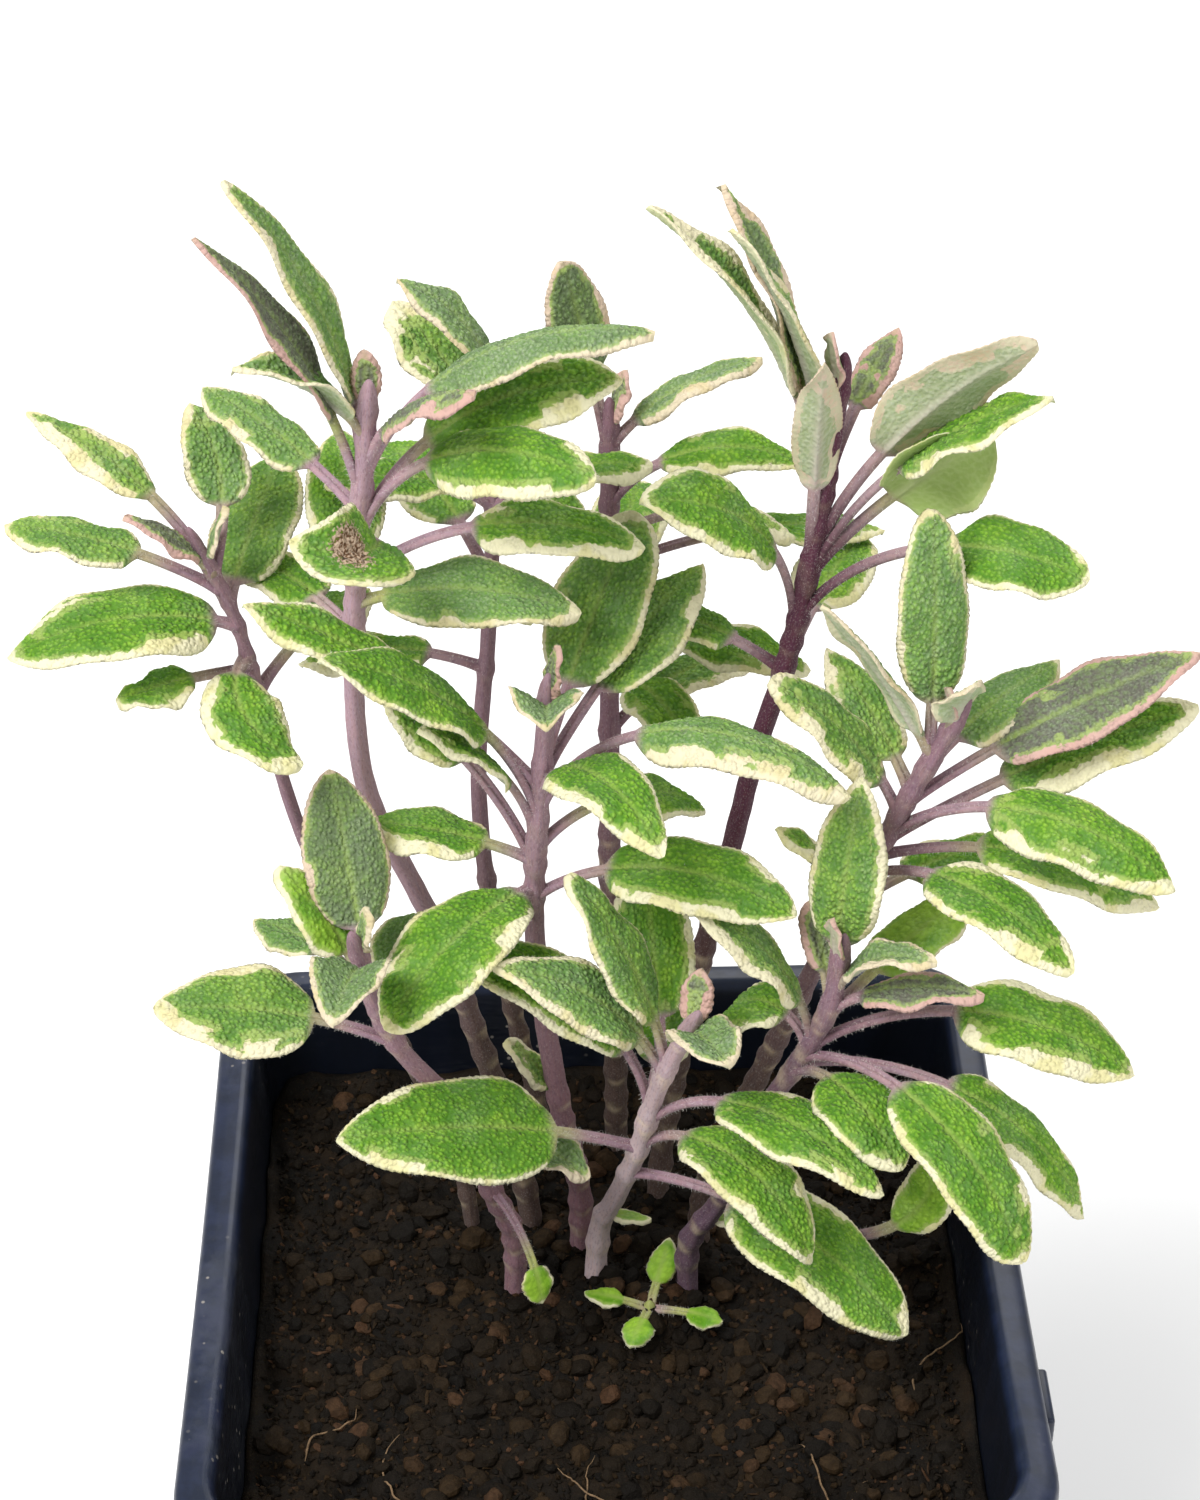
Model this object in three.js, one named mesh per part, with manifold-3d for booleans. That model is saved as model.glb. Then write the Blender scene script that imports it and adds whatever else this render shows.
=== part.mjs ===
// A potted variegated sage: a bushy herb of ten leafy stems and one low sprout,
// rooted in compost in a square plastic pot.
// Millimetres, +Z up. The origin is the middle of the pot's underside.
// +X is to the right seen from the front, and the front looks along +Y.
import * as THREE from "three";
import { mergeVertices } from "three/addons/utils/BufferGeometryUtils.js";
import Module from "manifold-3d";

const wasm = await Module();
wasm.setup();

// Pot
const potHeight = 110;
const rimSide = 120; // across the outside of the rim
const baseSide = 90; // across the underside
const wallThickness = 1.4;
const floorThickness = 2.2;
const rimWidth = 5.6; // how far the rolled rim reaches from the bore to the outside
const rimDrop = 9; // height of the rim's outer skirt
const rimEdge = 1.2; // rounding of the rim's two edges
const rimCorner = 12.5; // outer corner radius at the rim
const baseCorner = 9;
const sideBow = 0.4; // how far each side draws in at its middle
const drainRadius = 4;
const drainSpread = 27; // from the middle to each drain hole
const lugLength = 10; // stacking lug on the right side of the rim
const lugHeight = 5;
const lugDepth = 1.2;
const lugFromMiddle = -32;

// Compost
const soilTop = 94;
const soilGap = 0.3;
const soilBump = 0.9;
const holeGap = 0.4; // around each stem's foot
const footDepth = 16; // how deep a stem stands in the compost

// Stems and leaves
const footRadius = 1.65;
const topRadius = 1.15;
const stemSides = 8;
const stemStep = 18;
const budLength = 3.2;
const sproutRadius = 0.8;
const petioleHalf = 0.85;
const petioleThick = 1.3;
const longPetiole = 17; // a petiole longer than this bends in two steps
const bladeThick = 0.7;
const tipShare = 0.13; // half width of the blunt tip, as a share of the blade's width
const baseFullness = 0.44; // less is fuller towards the base
const tipFullness = 0.62; // more is more pointed
const widestPart = baseFullness / (baseFullness + tipFullness);
const lineSteps = 24; // steps of a leaf's middle line
const bladeStations = [0.15, 0.45, 0.8, 1];
const flatWithin = 0.02; // a corner this close to a flat face is dropped
const plainLeaf = {
  petiole: 8, blade: 22, width: 10, arch: 30, sweep: 0, roll: 0, cup: 8,
};

const potPlastic = new THREE.MeshStandardMaterial({
  color: 0x1d2233, roughness: 0.38, metalness: 0 });
const compost = new THREE.MeshStandardMaterial({
  color: 0x1a120c, roughness: 0.95, metalness: 0 });
const sageLeaf = new THREE.MeshStandardMaterial({
  color: 0x5f8a3c, roughness: 0.8, metalness: 0 });

// Each shoot has the route of its stem and its leaves, and a thin one its girth.
// route: points from the foot in the compost up to the bud.
// at: height on the stem where the leaf starts. heading: 0 points right, 90 away from
// the front, 180 left and 270 to the front. rise: how steeply it starts.
// arch: how far it bends down along its length. sweep: how far it turns sideways.
// roll: its left side raised. cup: each half of the blade raised.
const shoots = [
  {
    name: "stem_tall_left",
    route: [[-11, 18], [-13, 18, 106], [-24, 19, 150], [-33, 18, 177], [-34, 16, 197],
      [-33, 14, 213], [-31, 12, 233], [-30, 11, 244]],
    leaves: [
      { at: 230, heading: 180, rise: 92, arch: 42, petiole: 12, blade: 35, width: 8, roll: -14, cup: 15 },
      { at: 228, heading: 200, rise: 80, arch: 30, petiole: 13, blade: 33, width: 9, roll: -20, cup: 15 },
      { at: 238, heading: 200, rise: 64, arch: 50, petiole: 4, blade: 18, width: 9, cup: 35 },
      { at: 228, heading: 320, rise: 84, arch: 70, petiole: 13, blade: 19, width: 8, cup: -15 },
      { at: 230, heading: 356, rise: 74, arch: 84, petiole: 17, blade: 31, width: 10, cup: -12 },
      { at: 221, heading: 332, rise: 75, arch: 92, petiole: 19, blade: 25, width: 12, roll: 25, cup: -12 },
      { at: 222, heading: 2, rise: 72, arch: 78, petiole: 17, blade: 27, width: 13, roll: 22 },
      { at: 215, heading: 354, rise: 46, arch: 72, petiole: 18, blade: 23, width: 11, roll: 10 },
      { at: 211, heading: 350, rise: 25, arch: 45, petiole: 4, blade: 27, width: 12, roll: 15 },
      { at: 222, heading: 316, rise: 22, arch: 0, petiole: 4.5, blade: 19, width: 13.5, roll: -40, cup: 22,
        sweep: -150 },
      { at: 226, heading: 140, rise: 32, arch: 30, petiole: 9, blade: 20, width: 9 },
      { at: 208, heading: 95, rise: 45, arch: 50, petiole: 9, blade: 24, width: 11 },
      { at: 206, heading: 128, rise: 15, arch: 40, petiole: 8, blade: 20, width: 10 },
      { at: 242, heading: 90, rise: 80, arch: 0, petiole: 1, blade: 7, width: 4 },
    ],
  },
  {
    name: "stem_tall_right",
    route: [[8, 23], [9, 23, 106], [14, 24, 140], [18, 24, 161], [21, 22, 180],
      [25, 20, 199], [28, 19, 220], [30, 18, 243]],
    leaves: [
      { at: 219, heading: 180, rise: 90, arch: 52, petiole: 20, blade: 34, width: 9, cup: 25 },
      { at: 219, heading: 160, rise: 87, arch: 27, petiole: 19, blade: 31, width: 9, cup: 20 },
      { at: 224, heading: 190, rise: 90, arch: 37, petiole: 14, blade: 29, width: 8, cup: 20 },
      { at: 212, heading: 270, rise: 84, arch: 10, petiole: 14, blade: 22, width: 8, cup: 35 },
      { at: 227, heading: 60, rise: 44, arch: 30, petiole: 10, blade: 14, width: 6 },
      { at: 214, heading: 350, rise: 72, arch: 40, petiole: 19, blade: 26, width: 12, roll: -70, cup: 15 },
      { at: 210, heading: 345, rise: 72, arch: 50, petiole: 23, blade: 23, width: 12 },
      { at: 211, heading: 352, rise: 58, arch: 25, petiole: 17, blade: 16, width: 14, roll: -80, cup: -15 },
      { at: 204, heading: 340, rise: 63, arch: 86, petiole: 26, blade: 19, width: 13, roll: 15 },
      { at: 200, heading: 206, rise: 95, arch: 88, petiole: 16, blade: 25, width: 14, roll: -25 },
      { at: 196, heading: 65, rise: 25, arch: 40, petiole: 10, blade: 22, width: 11 },
      { at: 195, heading: 150, rise: 25, arch: 40, petiole: 8, blade: 20, width: 10 },
      { at: 240, heading: 200, rise: 80, arch: 0, petiole: 1, blade: 8, width: 5 },
    ],
  },
  {
    name: "stem_middle",
    route: [[-4, 12], [-4, 12, 106], [-7, 9, 127], [-10, 8, 156], [-10, 6, 172],
      [-9, 5, 188], [-8, 5, 203]],
    leaves: [
      { at: 191, heading: 62, rise: 50, arch: 20, petiole: 11, blade: 26, width: 14 },
      { at: 189, heading: 48, rise: 42, arch: 30, petiole: 14, blade: 24, width: 13 },
      { at: 200, heading: 270, rise: 45, arch: 40, petiole: 2, blade: 12, width: 12, cup: 35 },
      { at: 182, heading: 342, rise: 75, arch: 118, petiole: 22, blade: 31, width: 11, cup: -10 },
      { at: 181, heading: 305, rise: 90, arch: 135, petiole: 13, blade: 25, width: 12 },
      { at: 187, heading: 179, rise: 56, arch: 36, petiole: 27, blade: 22, width: 10, roll: -10 },
      { at: 182, heading: 203, rise: 76, arch: 54, petiole: 18, blade: 29, width: 12, roll: -15 },
      { at: 178, heading: 205, rise: 80, arch: 50, petiole: 12, blade: 18, width: 9 },
      { at: 173, heading: 172, rise: 72, arch: 35, petiole: 20, blade: 16, width: 9, roll: -30 },
      { at: 174, heading: 166, rise: 20, arch: 30, petiole: 7, blade: 18, width: 11 },
      { at: 167, heading: 339, rise: 48, arch: 75, petiole: 13, blade: 28, width: 13, roll: 15 },
      { at: 169, heading: 228, rise: 18, arch: 60, petiole: 3, blade: 29, width: 15 },
      { at: 176, heading: 20, rise: 50, arch: 100, petiole: 10, blade: 18, width: 10 },
      { at: 128, heading: 165, rise: 60, arch: 20, petiole: 2, blade: 10, width: 6 },
      { at: 201, heading: 20, rise: 80, arch: 0, petiole: 1, blade: 8, width: 5 },
    ],
  },
  {
    name: "stem_right",
    route: [[14, 13], [15, 13, 106], [23, 10, 133], [33, 6, 165], [40, 3, 186], [46, 2, 201]],
    leaves: [
      { at: 193, heading: 172, rise: 66, arch: 20, petiole: 4, blade: 24, width: 7, roll: 40 },
      { at: 192, heading: 100, rise: 92, arch: 22, petiole: 10, blade: 27, width: 10 },
      { at: 198, heading: 300, rise: 75, arch: 20, petiole: 2, blade: 9, width: 8, cup: 20 },
      { at: 191, heading: 38, rise: 32, arch: 35, petiole: 6, blade: 20, width: 10 },
      { at: 185, heading: 6, rise: 38, arch: 18, petiole: 14, blade: 30, width: 12, roll: 15 },
      { at: 178, heading: 6, rise: 33, arch: 18, petiole: 18, blade: 28, width: 12, roll: 10 },
      { at: 179, heading: 333, rise: 52, arch: 92, petiole: 17, blade: 28, width: 12, roll: 15, cup: -8 },
      { at: 175, heading: 352, rise: 22, arch: 60, petiole: 14, blade: 27, width: 13 },
      { at: 183, heading: 172, rise: 70, arch: 42, petiole: 6, blade: 22, width: 10, roll: -15 },
      { at: 187, heading: 125, rise: 50, arch: 30, petiole: 5, blade: 18, width: 9 },
      { at: 171, heading: 316, rise: 44, arch: 80, petiole: 13, blade: 25, width: 12 },
      { at: 168, heading: 180, rise: 60, arch: 30, petiole: 3, blade: 13, width: 6 },
      { at: 165, heading: 30, rise: 15, arch: 30, petiole: 10, blade: 18, width: 10 },
      { at: 199, heading: 200, rise: 80, arch: 0, petiole: 1, blade: 5, width: 4 },
    ],
  },
  {
    name: "stem_right_front",
    route: [[12, 2], [12, 1, 106], [16, -2, 117], [21, -4, 135], [27, -6, 149],
      [30, -8, 160], [31, -8, 169]],
    leaves: [
      { at: 160, heading: 110, rise: 60, arch: 15, petiole: 4, blade: 10, width: 5 },
      { at: 160, heading: 330, rise: 80, arch: 80, petiole: 6, blade: 15, width: 8, cup: 20 },
      { at: 158, heading: 338, rise: 48, arch: 50, petiole: 6, blade: 18, width: 8 },
      { at: 150, heading: 349, rise: 46, arch: 88, petiole: 22, blade: 27, width: 14, roll: 12 },
      { at: 151, heading: 175, rise: 84, arch: 60, petiole: 8, blade: 22, width: 11 },
      { at: 148, heading: 311, rise: 40, arch: 105, petiole: 19, blade: 30, width: 13.5 },
      { at: 144.6, heading: 302, rise: 50, arch: 95, petiole: 10, blade: 18, width: 12 },
      { at: 147, heading: 344, rise: 20, arch: 92, petiole: 21, blade: 30, width: 12 },
      { at: 146, heading: 150, rise: 128, arch: 222, petiole: 10, blade: 13, width: 12 },
      { at: 119, heading: 338, rise: -36, arch: -136, petiole: 28, blade: 18, width: 8, roll: 75 },
      { at: 159, heading: 62, rise: 84, arch: 12, petiole: 10, blade: 25, width: 11 },
      { at: 156, heading: 36, rise: 30, arch: 20, petiole: 10, blade: 18, width: 10 },
      { at: 112, heading: 0, rise: 0, arch: 0, petiole: 1, blade: 5, width: 3 },
      { at: 167, heading: 200, rise: 80, arch: 0, petiole: 1, blade: 7, width: 5 },
    ],
  },
  {
    name: "stem_front",
    route: [[-2, 5], [-1, 5, 106], [1, 2, 114], [4, -3, 128], [7, -8, 146], [11, -12, 160]],
    leaves: [
      { at: 147, heading: 184, rise: 74, arch: 62, petiole: 8, blade: 25, width: 11, roll: -20 },
      { at: 149, heading: 152, rise: 80, arch: 35, petiole: 8, blade: 25, width: 10 },
      { at: 156, heading: 292, rise: 55, arch: 60, petiole: 2, blade: 14, width: 10, cup: 25 },
      { at: 129, heading: 197, rise: 33, arch: 30, petiole: 14, blade: 32.5, width: 17, roll: -22 },
      { at: 128, heading: 318, rise: 64, arch: 135, petiole: 12, blade: 28, width: 12 },
      { at: 122, heading: 329, rise: 22, arch: 70, petiole: 17, blade: 32, width: 17.5 },
      { at: 135, heading: 322, rise: 60, arch: 95, petiole: 17, blade: 28, width: 12 },
      { at: 138, heading: 170, rise: 85, arch: 88, petiole: 12, blade: 32, width: 12, roll: -12 },
      { at: 147, heading: 95, rise: 55, arch: 30, petiole: 8, blade: 22, width: 12 },
      { at: 136, heading: 75, rise: 45, arch: 40, petiole: 8, blade: 18, width: 10 },
      { at: 109, heading: 345, rise: 0, arch: 0, petiole: 1, blade: 6, width: 3 },
      { at: 158, heading: 60, rise: 65, arch: 0, petiole: 1, blade: 8, width: 5 },
    ],
  },
  {
    name: "stem_left_front",
    route: [[-14, 4], [-14, 3, 106], [-17, 1, 117], [-22, -2, 136], [-30, -5, 152],
      [-34, -8, 171]],
    leaves: [
      { at: 164, heading: 106, rise: 60, arch: 15, petiole: 7, blade: 22, width: 12 },
      { at: 163, heading: 135, rise: 12, arch: 35, petiole: 9, blade: 15, width: 8 },
      { at: 160, heading: 150, rise: 66, arch: 30, petiole: 8, blade: 15, width: 9 },
      { at: 164, heading: 260, rise: 62, arch: 75, petiole: 6, blade: 17, width: 12, cup: 30 },
      { at: 151, heading: 184, rise: 32, arch: 35, petiole: 12, blade: 22, width: 14.5, roll: -20 },
      { at: 140, heading: 300, rise: -5, arch: 40, petiole: 2, blade: 10, width: 8 },
      { at: 122, heading: 330, rise: 78, arch: 120, petiole: 12, blade: 10, width: 8, cup: 25 },
      { at: 117, heading: 300, rise: 10, arch: 95, petiole: 14, blade: 6, width: 5 },
      { at: 158, heading: 68, rise: 50, arch: 70, petiole: 5, blade: 13, width: 9 },
      { at: 155, heading: 40, rise: 40, arch: 80, petiole: 4, blade: 11, width: 8 },
      { at: 169, heading: 20, rise: 80, arch: 0, petiole: 1, blade: 7, width: 5 },
    ],
  },
  {
    name: "stem_far_left",
    girth: 0.7,
    route: [[-20, 16], [-22, 17, 106], [-34, 20, 140], [-43, 22, 167], [-46, 22, 182],
      [-48, 21, 195], [-50, 21, 205], [-54, 20, 217]],
    leaves: [
      { at: 213, heading: 150, rise: 54, arch: 50, petiole: 12, blade: 21, width: 8 },
      { at: 209, heading: 166, rise: 26, arch: 30, petiole: 12, blade: 19, width: 10 },
      { at: 203, heading: 192, rise: 26, arch: 54, petiole: 3, blade: 29, width: 15.5, roll: -8 },
      { at: 207, heading: 76, rise: 24, arch: 15, petiole: 3, blade: 24, width: 12 },
      { at: 212, heading: 62, sweep: 75, rise: 52, arch: 15, petiole: 9, blade: 15, width: 9 },
      { at: 212, heading: 200, rise: 60, arch: 30, petiole: 3, blade: 13, width: 7 },
      { at: 196, heading: 200, rise: 8, arch: 20, petiole: 8, blade: 11, width: 9 },
      { at: 198, heading: 244, sweep: 104, rise: 0, arch: 30, petiole: 4, blade: 19, width: 11 },
      { at: 192, heading: 60, rise: 20, arch: 40, petiole: 9, blade: 20, width: 11 },
      { at: 214, heading: 0, rise: 70, arch: 0, petiole: 1, blade: 8, width: 5 },
    ],
  },
  {
    name: "stem_back_left",
    girth: 0.8,
    route: [[-9, 29], [-10, 29, 106], [-16, 31, 140], [-18, 33, 166], [-16, 35, 193],
      [-15, 36, 214], [-15, 37, 230]],
    leaves: [
      { at: 226, heading: 165, rise: 100, arch: 88, petiole: 6, blade: 19, width: 9 },
      { at: 222, heading: 135, rise: 54, arch: 35, petiole: 8, blade: 16, width: 11 },
      { at: 212, heading: 200, rise: 45, arch: 50, petiole: 8, blade: 18, width: 10 },
      { at: 212, heading: 340, rise: 50, arch: 50, petiole: 8, blade: 18, width: 10 },
      { at: 200, heading: 120, rise: 40, arch: 60, petiole: 10, blade: 24, width: 12 },
      { at: 198, heading: 290, rise: 60, arch: 80, petiole: 6, blade: 14, width: 9 },
      { at: 186, heading: 170, rise: 20, arch: 50, petiole: 8, blade: 20, width: 10 },
      { at: 227, heading: 20, rise: 75, arch: 0, petiole: 1, blade: 8, width: 5 },
    ],
  },
  {
    name: "stem_back_middle",
    route: [[2, 33], [2, 33, 106], [1, 35, 150], [1, 38, 170], [1, 40, 186],
      [1, 42, 204], [1, 43, 222]],
    leaves: [
      { at: 217, heading: 12, rise: 52, arch: 50, petiole: 5, blade: 20, width: 7 },
      { at: 208, heading: 355, rise: 60, arch: 92, petiole: 10, blade: 22, width: 9, roll: 10 },
      { at: 202, heading: 345, rise: 50, arch: 80, petiole: 10, blade: 19, width: 9 },
      { at: 216, heading: 170, rise: 80, arch: 5, petiole: 12, blade: 18, width: 9.5, roll: -50 },
      { at: 198, heading: 5, rise: 25, arch: 40, petiole: 16, blade: 24, width: 9 },
      { at: 200, heading: 150, rise: 50, arch: 60, petiole: 6, blade: 16, width: 9 },
      { at: 190, heading: 80, rise: 35, arch: 60, petiole: 10, blade: 24, width: 12 },
      { at: 186, heading: 345, rise: 25, arch: 50, petiole: 10, blade: 20, width: 11 },
      { at: 180, heading: 300, rise: 45, arch: 90, petiole: 8, blade: 18, width: 10 },
      { at: 172, heading: 30, rise: 40, arch: 60, petiole: 9, blade: 18, width: 10 },
      { at: 220, heading: 20, rise: 75, arch: 0, petiole: 1, blade: 8, width: 5 },
    ],
  },
];

// The low sprout has its own thin foot.
const sprout = {
  name: "sprout",
  route: [[6, -3], [6, -3, 97]],
  leaves: [
    { at: 96, heading: 170, rise: 25, arch: 30, petiole: 4, blade: 6, width: 4 },
    { at: 96, heading: 250, rise: 20, arch: 30, petiole: 3, blade: 6, width: 5 },
    { at: 96, heading: 68, rise: 45, arch: 20, petiole: 4, blade: 7, width: 4.5 },
    { at: 96, heading: 340, rise: 20, arch: 30, petiole: 6, blade: 5.5, width: 4.5 },
  ],
};

// Solids from closed meshes, and meshes from solids.
function toSolid(geometry) {
  geometry.deleteAttribute("normal");
  geometry.deleteAttribute("uv");
  const merged = mergeVertices(geometry, 1e-5);
  const solid = new wasm.Manifold(new wasm.Mesh({
    numProp: 3,
    vertProperties: new Float32Array(merged.attributes.position.array),
    triVerts: new Uint32Array(merged.index.array),
  }));
  return solid;
}

function toMesh(solid, name, material) {
  const data = solid.getMesh();
  const geometry = new THREE.BufferGeometry();
  geometry.setAttribute("position", new THREE.BufferAttribute(data.vertProperties, 3));
  geometry.setIndex(new THREE.BufferAttribute(data.triVerts, 1));
  geometry.computeVertexNormals();
  const mesh = new THREE.Mesh(geometry, material);
  mesh.name = name;
  return mesh;
}

// A closed skin over rings that all have the same number of points.
// quads(i) gives the four corners of each face between ring i and the next.
function ringSkin(rings, faces, cap) {
  const sides = rings[0].length;
  const positions = rings.flat().flatMap((point) => [point.x, point.y, point.z]);
  const index = [];
  const corner = (ring, side) => ring * sides + (side + sides) % sides;
  for (let ring = 0; ring + 1 < rings.length; ring++) {
    for (const [a, b, flip] of faces) {
      const low = [corner(ring, a), corner(ring, b)];
      const high = [corner(ring + 1, a), corner(ring + 1, b)];
      if (flip) index.push(low[0], low[1], high[0], low[1], high[1], high[0]);
      else index.push(low[0], low[1], high[1], low[0], high[1], high[0]);
    }
  }
  const last = rings.length - 1;
  for (const [a, b, c] of cap) {
    index.push(corner(0, c), corner(0, b), corner(0, a));
    index.push(corner(last, a), corner(last, b), corner(last, c));
  }
  const geometry = new THREE.BufferGeometry();
  geometry.setAttribute("position", new THREE.Float32BufferAttribute(positions, 3));
  geometry.setIndex(index);
  return geometry;
}

// Faces and caps of a plain round or square tube.
function tubeFaces(sides) {
  return Array.from({ length: sides }, (_, side) => [side, side + 1, false]);
}

function fanCap(sides) {
  return Array.from({ length: sides - 2 }, (_, i) => [0, i + 1, i + 2]);
}

// One level of the square pot: a rounded square whose sides draw in at their middles.
function squareRing(side, corner, bow, height) {
  const perSide = 4;
  const perCorner = 4;
  const half = side / 2;
  const ring = [];
  for (let quarter = 0; quarter < 4; quarter++) {
    const turn = quarter * Math.PI / 2;
    const run = 2 * (half - corner);
    const local = [];
    for (let i = 0; i < perSide; i++) local.push([half, -half + corner + run * i / perSide]);
    for (let i = 0; i < perCorner; i++) {
      const angle = (i / perCorner) * Math.PI / 2;
      local.push([half - corner + corner * Math.cos(angle),
        half - corner + corner * Math.sin(angle)]);
    }
    for (const [x, y] of local) {
      const slant = Math.min(Math.abs(x), Math.abs(y)) / Math.max(Math.abs(x), Math.abs(y));
      const drawIn = 1 - (bow / half) * (1 - slant * slant);
      ring.push(new THREE.Vector3(
        drawIn * (x * Math.cos(turn) - y * Math.sin(turn)),
        drawIn * (x * Math.sin(turn) + y * Math.cos(turn)),
        height));
    }
  }
  return ring;
}

function squareSolid(levels) {
  const rings = levels.map(([side, corner, bow, height]) =>
    squareRing(side, corner, bow, height));
  const sides = rings[0].length;
  return toSolid(ringSkin(rings, tubeFaces(sides), fanCap(sides)));
}

// Outside of the pot's wall, under the rim, at a height.
function wallSide(height) {
  const top = rimSide - 2 * (rimWidth - wallThickness);
  return baseSide + (top - baseSide) * height / potHeight;
}

function wallCorner(height) {
  return baseCorner + (rimCorner - 3 - baseCorner) * height / potHeight;
}

function makePot() {
  const skirt = potHeight - rimDrop;
  const bore = wallSide(potHeight) - 2 * wallThickness;
  const outside = squareSolid([
    [baseSide - 2, baseCorner, 0, 0],
    [wallSide(2), wallCorner(2), 0, 2],
    [wallSide(skirt * 0.5), wallCorner(skirt * 0.5), sideBow * 0.3, skirt * 0.5],
    [wallSide(skirt), wallCorner(skirt), sideBow, skirt],
    [rimSide - 1.6, rimCorner - 0.8, sideBow, skirt + 0.6],
    [rimSide, rimCorner, sideBow, potHeight - 2.4 * rimEdge],
    [rimSide - 0.3 * rimEdge, rimCorner - 0.2, sideBow, potHeight - 0.8 * rimEdge],
    [rimSide - 1.6 * rimEdge, rimCorner - 0.8, sideBow, potHeight],
  ]);
  const inside = squareSolid([
    [wallSide(floorThickness) - 2 * wallThickness, wallCorner(0) - wallThickness, 0,
      floorThickness],
    [wallSide(skirt * 0.5) - 2 * wallThickness, wallCorner(skirt * 0.5) - wallThickness,
      sideBow * 0.3, skirt * 0.5],
    [wallSide(skirt) - 2 * wallThickness, wallCorner(skirt) - wallThickness, sideBow, skirt],
    [bore, wallCorner(potHeight) - wallThickness, sideBow, potHeight - rimEdge],
    [bore + 1.6 * rimEdge, wallCorner(potHeight), sideBow, potHeight + 0.2],
  ]);
  let solid = outside.subtract(inside);
  for (let i = 0; i < 4; i++) {
    const angle = Math.PI / 4 + i * Math.PI / 2;
    const hole = new THREE.CylinderGeometry(drainRadius, drainRadius, 8, 16);
    hole.rotateX(Math.PI / 2);
    hole.translate(drainSpread * Math.cos(angle), drainSpread * Math.sin(angle), 0);
    solid = solid.subtract(toSolid(hole));
  }
  const lug = new THREE.BoxGeometry(2 * lugDepth, lugLength, lugHeight);
  lug.translate(rimSide / 2 - 0.3, lugFromMiddle, potHeight - rimDrop / 2);
  return toMesh(solid.add(toSolid(lug)), "pot", potPlastic);
}

// Leaf middle line: it starts at a heading and a rise, then arches and sweeps evenly.
function leafFrames(root, leaf, places) {
  const length = leaf.petiole + leaf.blade;
  const step = length / lineSteps;
  const along = (part) => {
    const rise = THREE.MathUtils.degToRad(leaf.rise - leaf.arch * part);
    const heading = THREE.MathUtils.degToRad(leaf.heading + leaf.sweep * part);
    return {
      direction: new THREE.Vector3(Math.cos(rise) * Math.cos(heading),
        Math.cos(rise) * Math.sin(heading), Math.sin(rise)),
      left: new THREE.Vector3(-Math.sin(heading), Math.cos(heading), 0),
    };
  };
  const points = [root.clone()];
  for (let i = 0; i < lineSteps; i++) {
    const { direction } = along((i + 0.5) / lineSteps);
    points.push(points[i].clone().addScaledVector(direction, step));
  }
  return places.map((place) => {
    const part = place / length;
    const spot = Math.min(part * lineSteps, lineSteps - 1e-6);
    const before = Math.floor(spot);
    const middle = points[before].clone().lerp(points[before + 1], spot - before);
    const { direction, left } = along(part);
    left.applyAxisAngle(direction, THREE.MathUtils.degToRad(leaf.roll));
    const up = direction.clone().cross(left);
    return { middle, left, up };
  });
}

// Half the blade's width along it: widest a little before the middle, blunt at the tip.
function bladeHalf(leaf, part) {
  const shape = (place) => Math.pow(place, baseFullness) * Math.pow(1 - place, tipFullness);
  return leaf.width * Math.max(shape(part) / shape(widestPart) / 2, tipShare);
}

const leafFaces = [[0, 1, false], [1, 2, true], [2, 3, false], [3, 4, false], [4, 5, true],
  [5, 0, false]];
const leafCap = [[0, 1, 4], [0, 4, 5], [1, 2, 3], [1, 3, 4]];

function leafRings(root, given) {
  const leaf = { ...plainLeaf, ...given };
  const stations = [
    { place: 0, half: petioleHalf, thick: petioleThick, cup: 0 },
    ...(leaf.petiole > longPetiole
      ? [{ place: leaf.petiole / 2, half: petioleHalf, thick: petioleThick, cup: 0 }]
      : []),
    { place: leaf.petiole, half: petioleHalf, thick: petioleThick, cup: 0 },
    ...bladeStations.map((part) => ({
      place: leaf.petiole + leaf.blade * part,
      half: bladeHalf(leaf, part),
      thick: bladeThick,
      cup: THREE.MathUtils.degToRad(leaf.cup),
    })),
  ];
  const frames = leafFrames(root, leaf, stations.map((station) => station.place));
  return stations.map(({ half, thick, cup }, i) => {
    const { middle, left, up } = frames[i];
    const spot = (side, above) => middle.clone()
      .addScaledVector(left, side * half * Math.cos(cup))
      .addScaledVector(up, Math.abs(side) * half * Math.sin(cup) + above * thick / 2);
    return [spot(1, 1), spot(0, 1), spot(-1, 1), spot(-1, -1), spot(0, -1), spot(1, -1)];
  });
}

function leafSolid(root, leaf) {
  return toSolid(ringSkin(leafRings(root, leaf), leafFaces, leafCap));
}

// The stem's middle line, from below the compost to the bud.
function stemCurve(shoot) {
  const [foot, ...rest] = shoot.route;
  const deep = new THREE.Vector3(foot[0], foot[1], soilTop - footDepth);
  const surface = new THREE.Vector3(foot[0], foot[1], soilTop);
  const above = rest.map(([x, y, z]) => new THREE.Vector3(x, y, z));
  return new THREE.CatmullRomCurve3([deep, surface, ...above], false, "centripetal");
}

function pointAtHeight(curve, height) {
  let low = 0;
  let high = 1;
  for (let i = 0; i < 30; i++) {
    const middle = (low + high) / 2;
    if (curve.getPoint(middle).z < height) low = middle;
    else high = middle;
  }
  return curve.getPoint(low);
}

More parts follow.
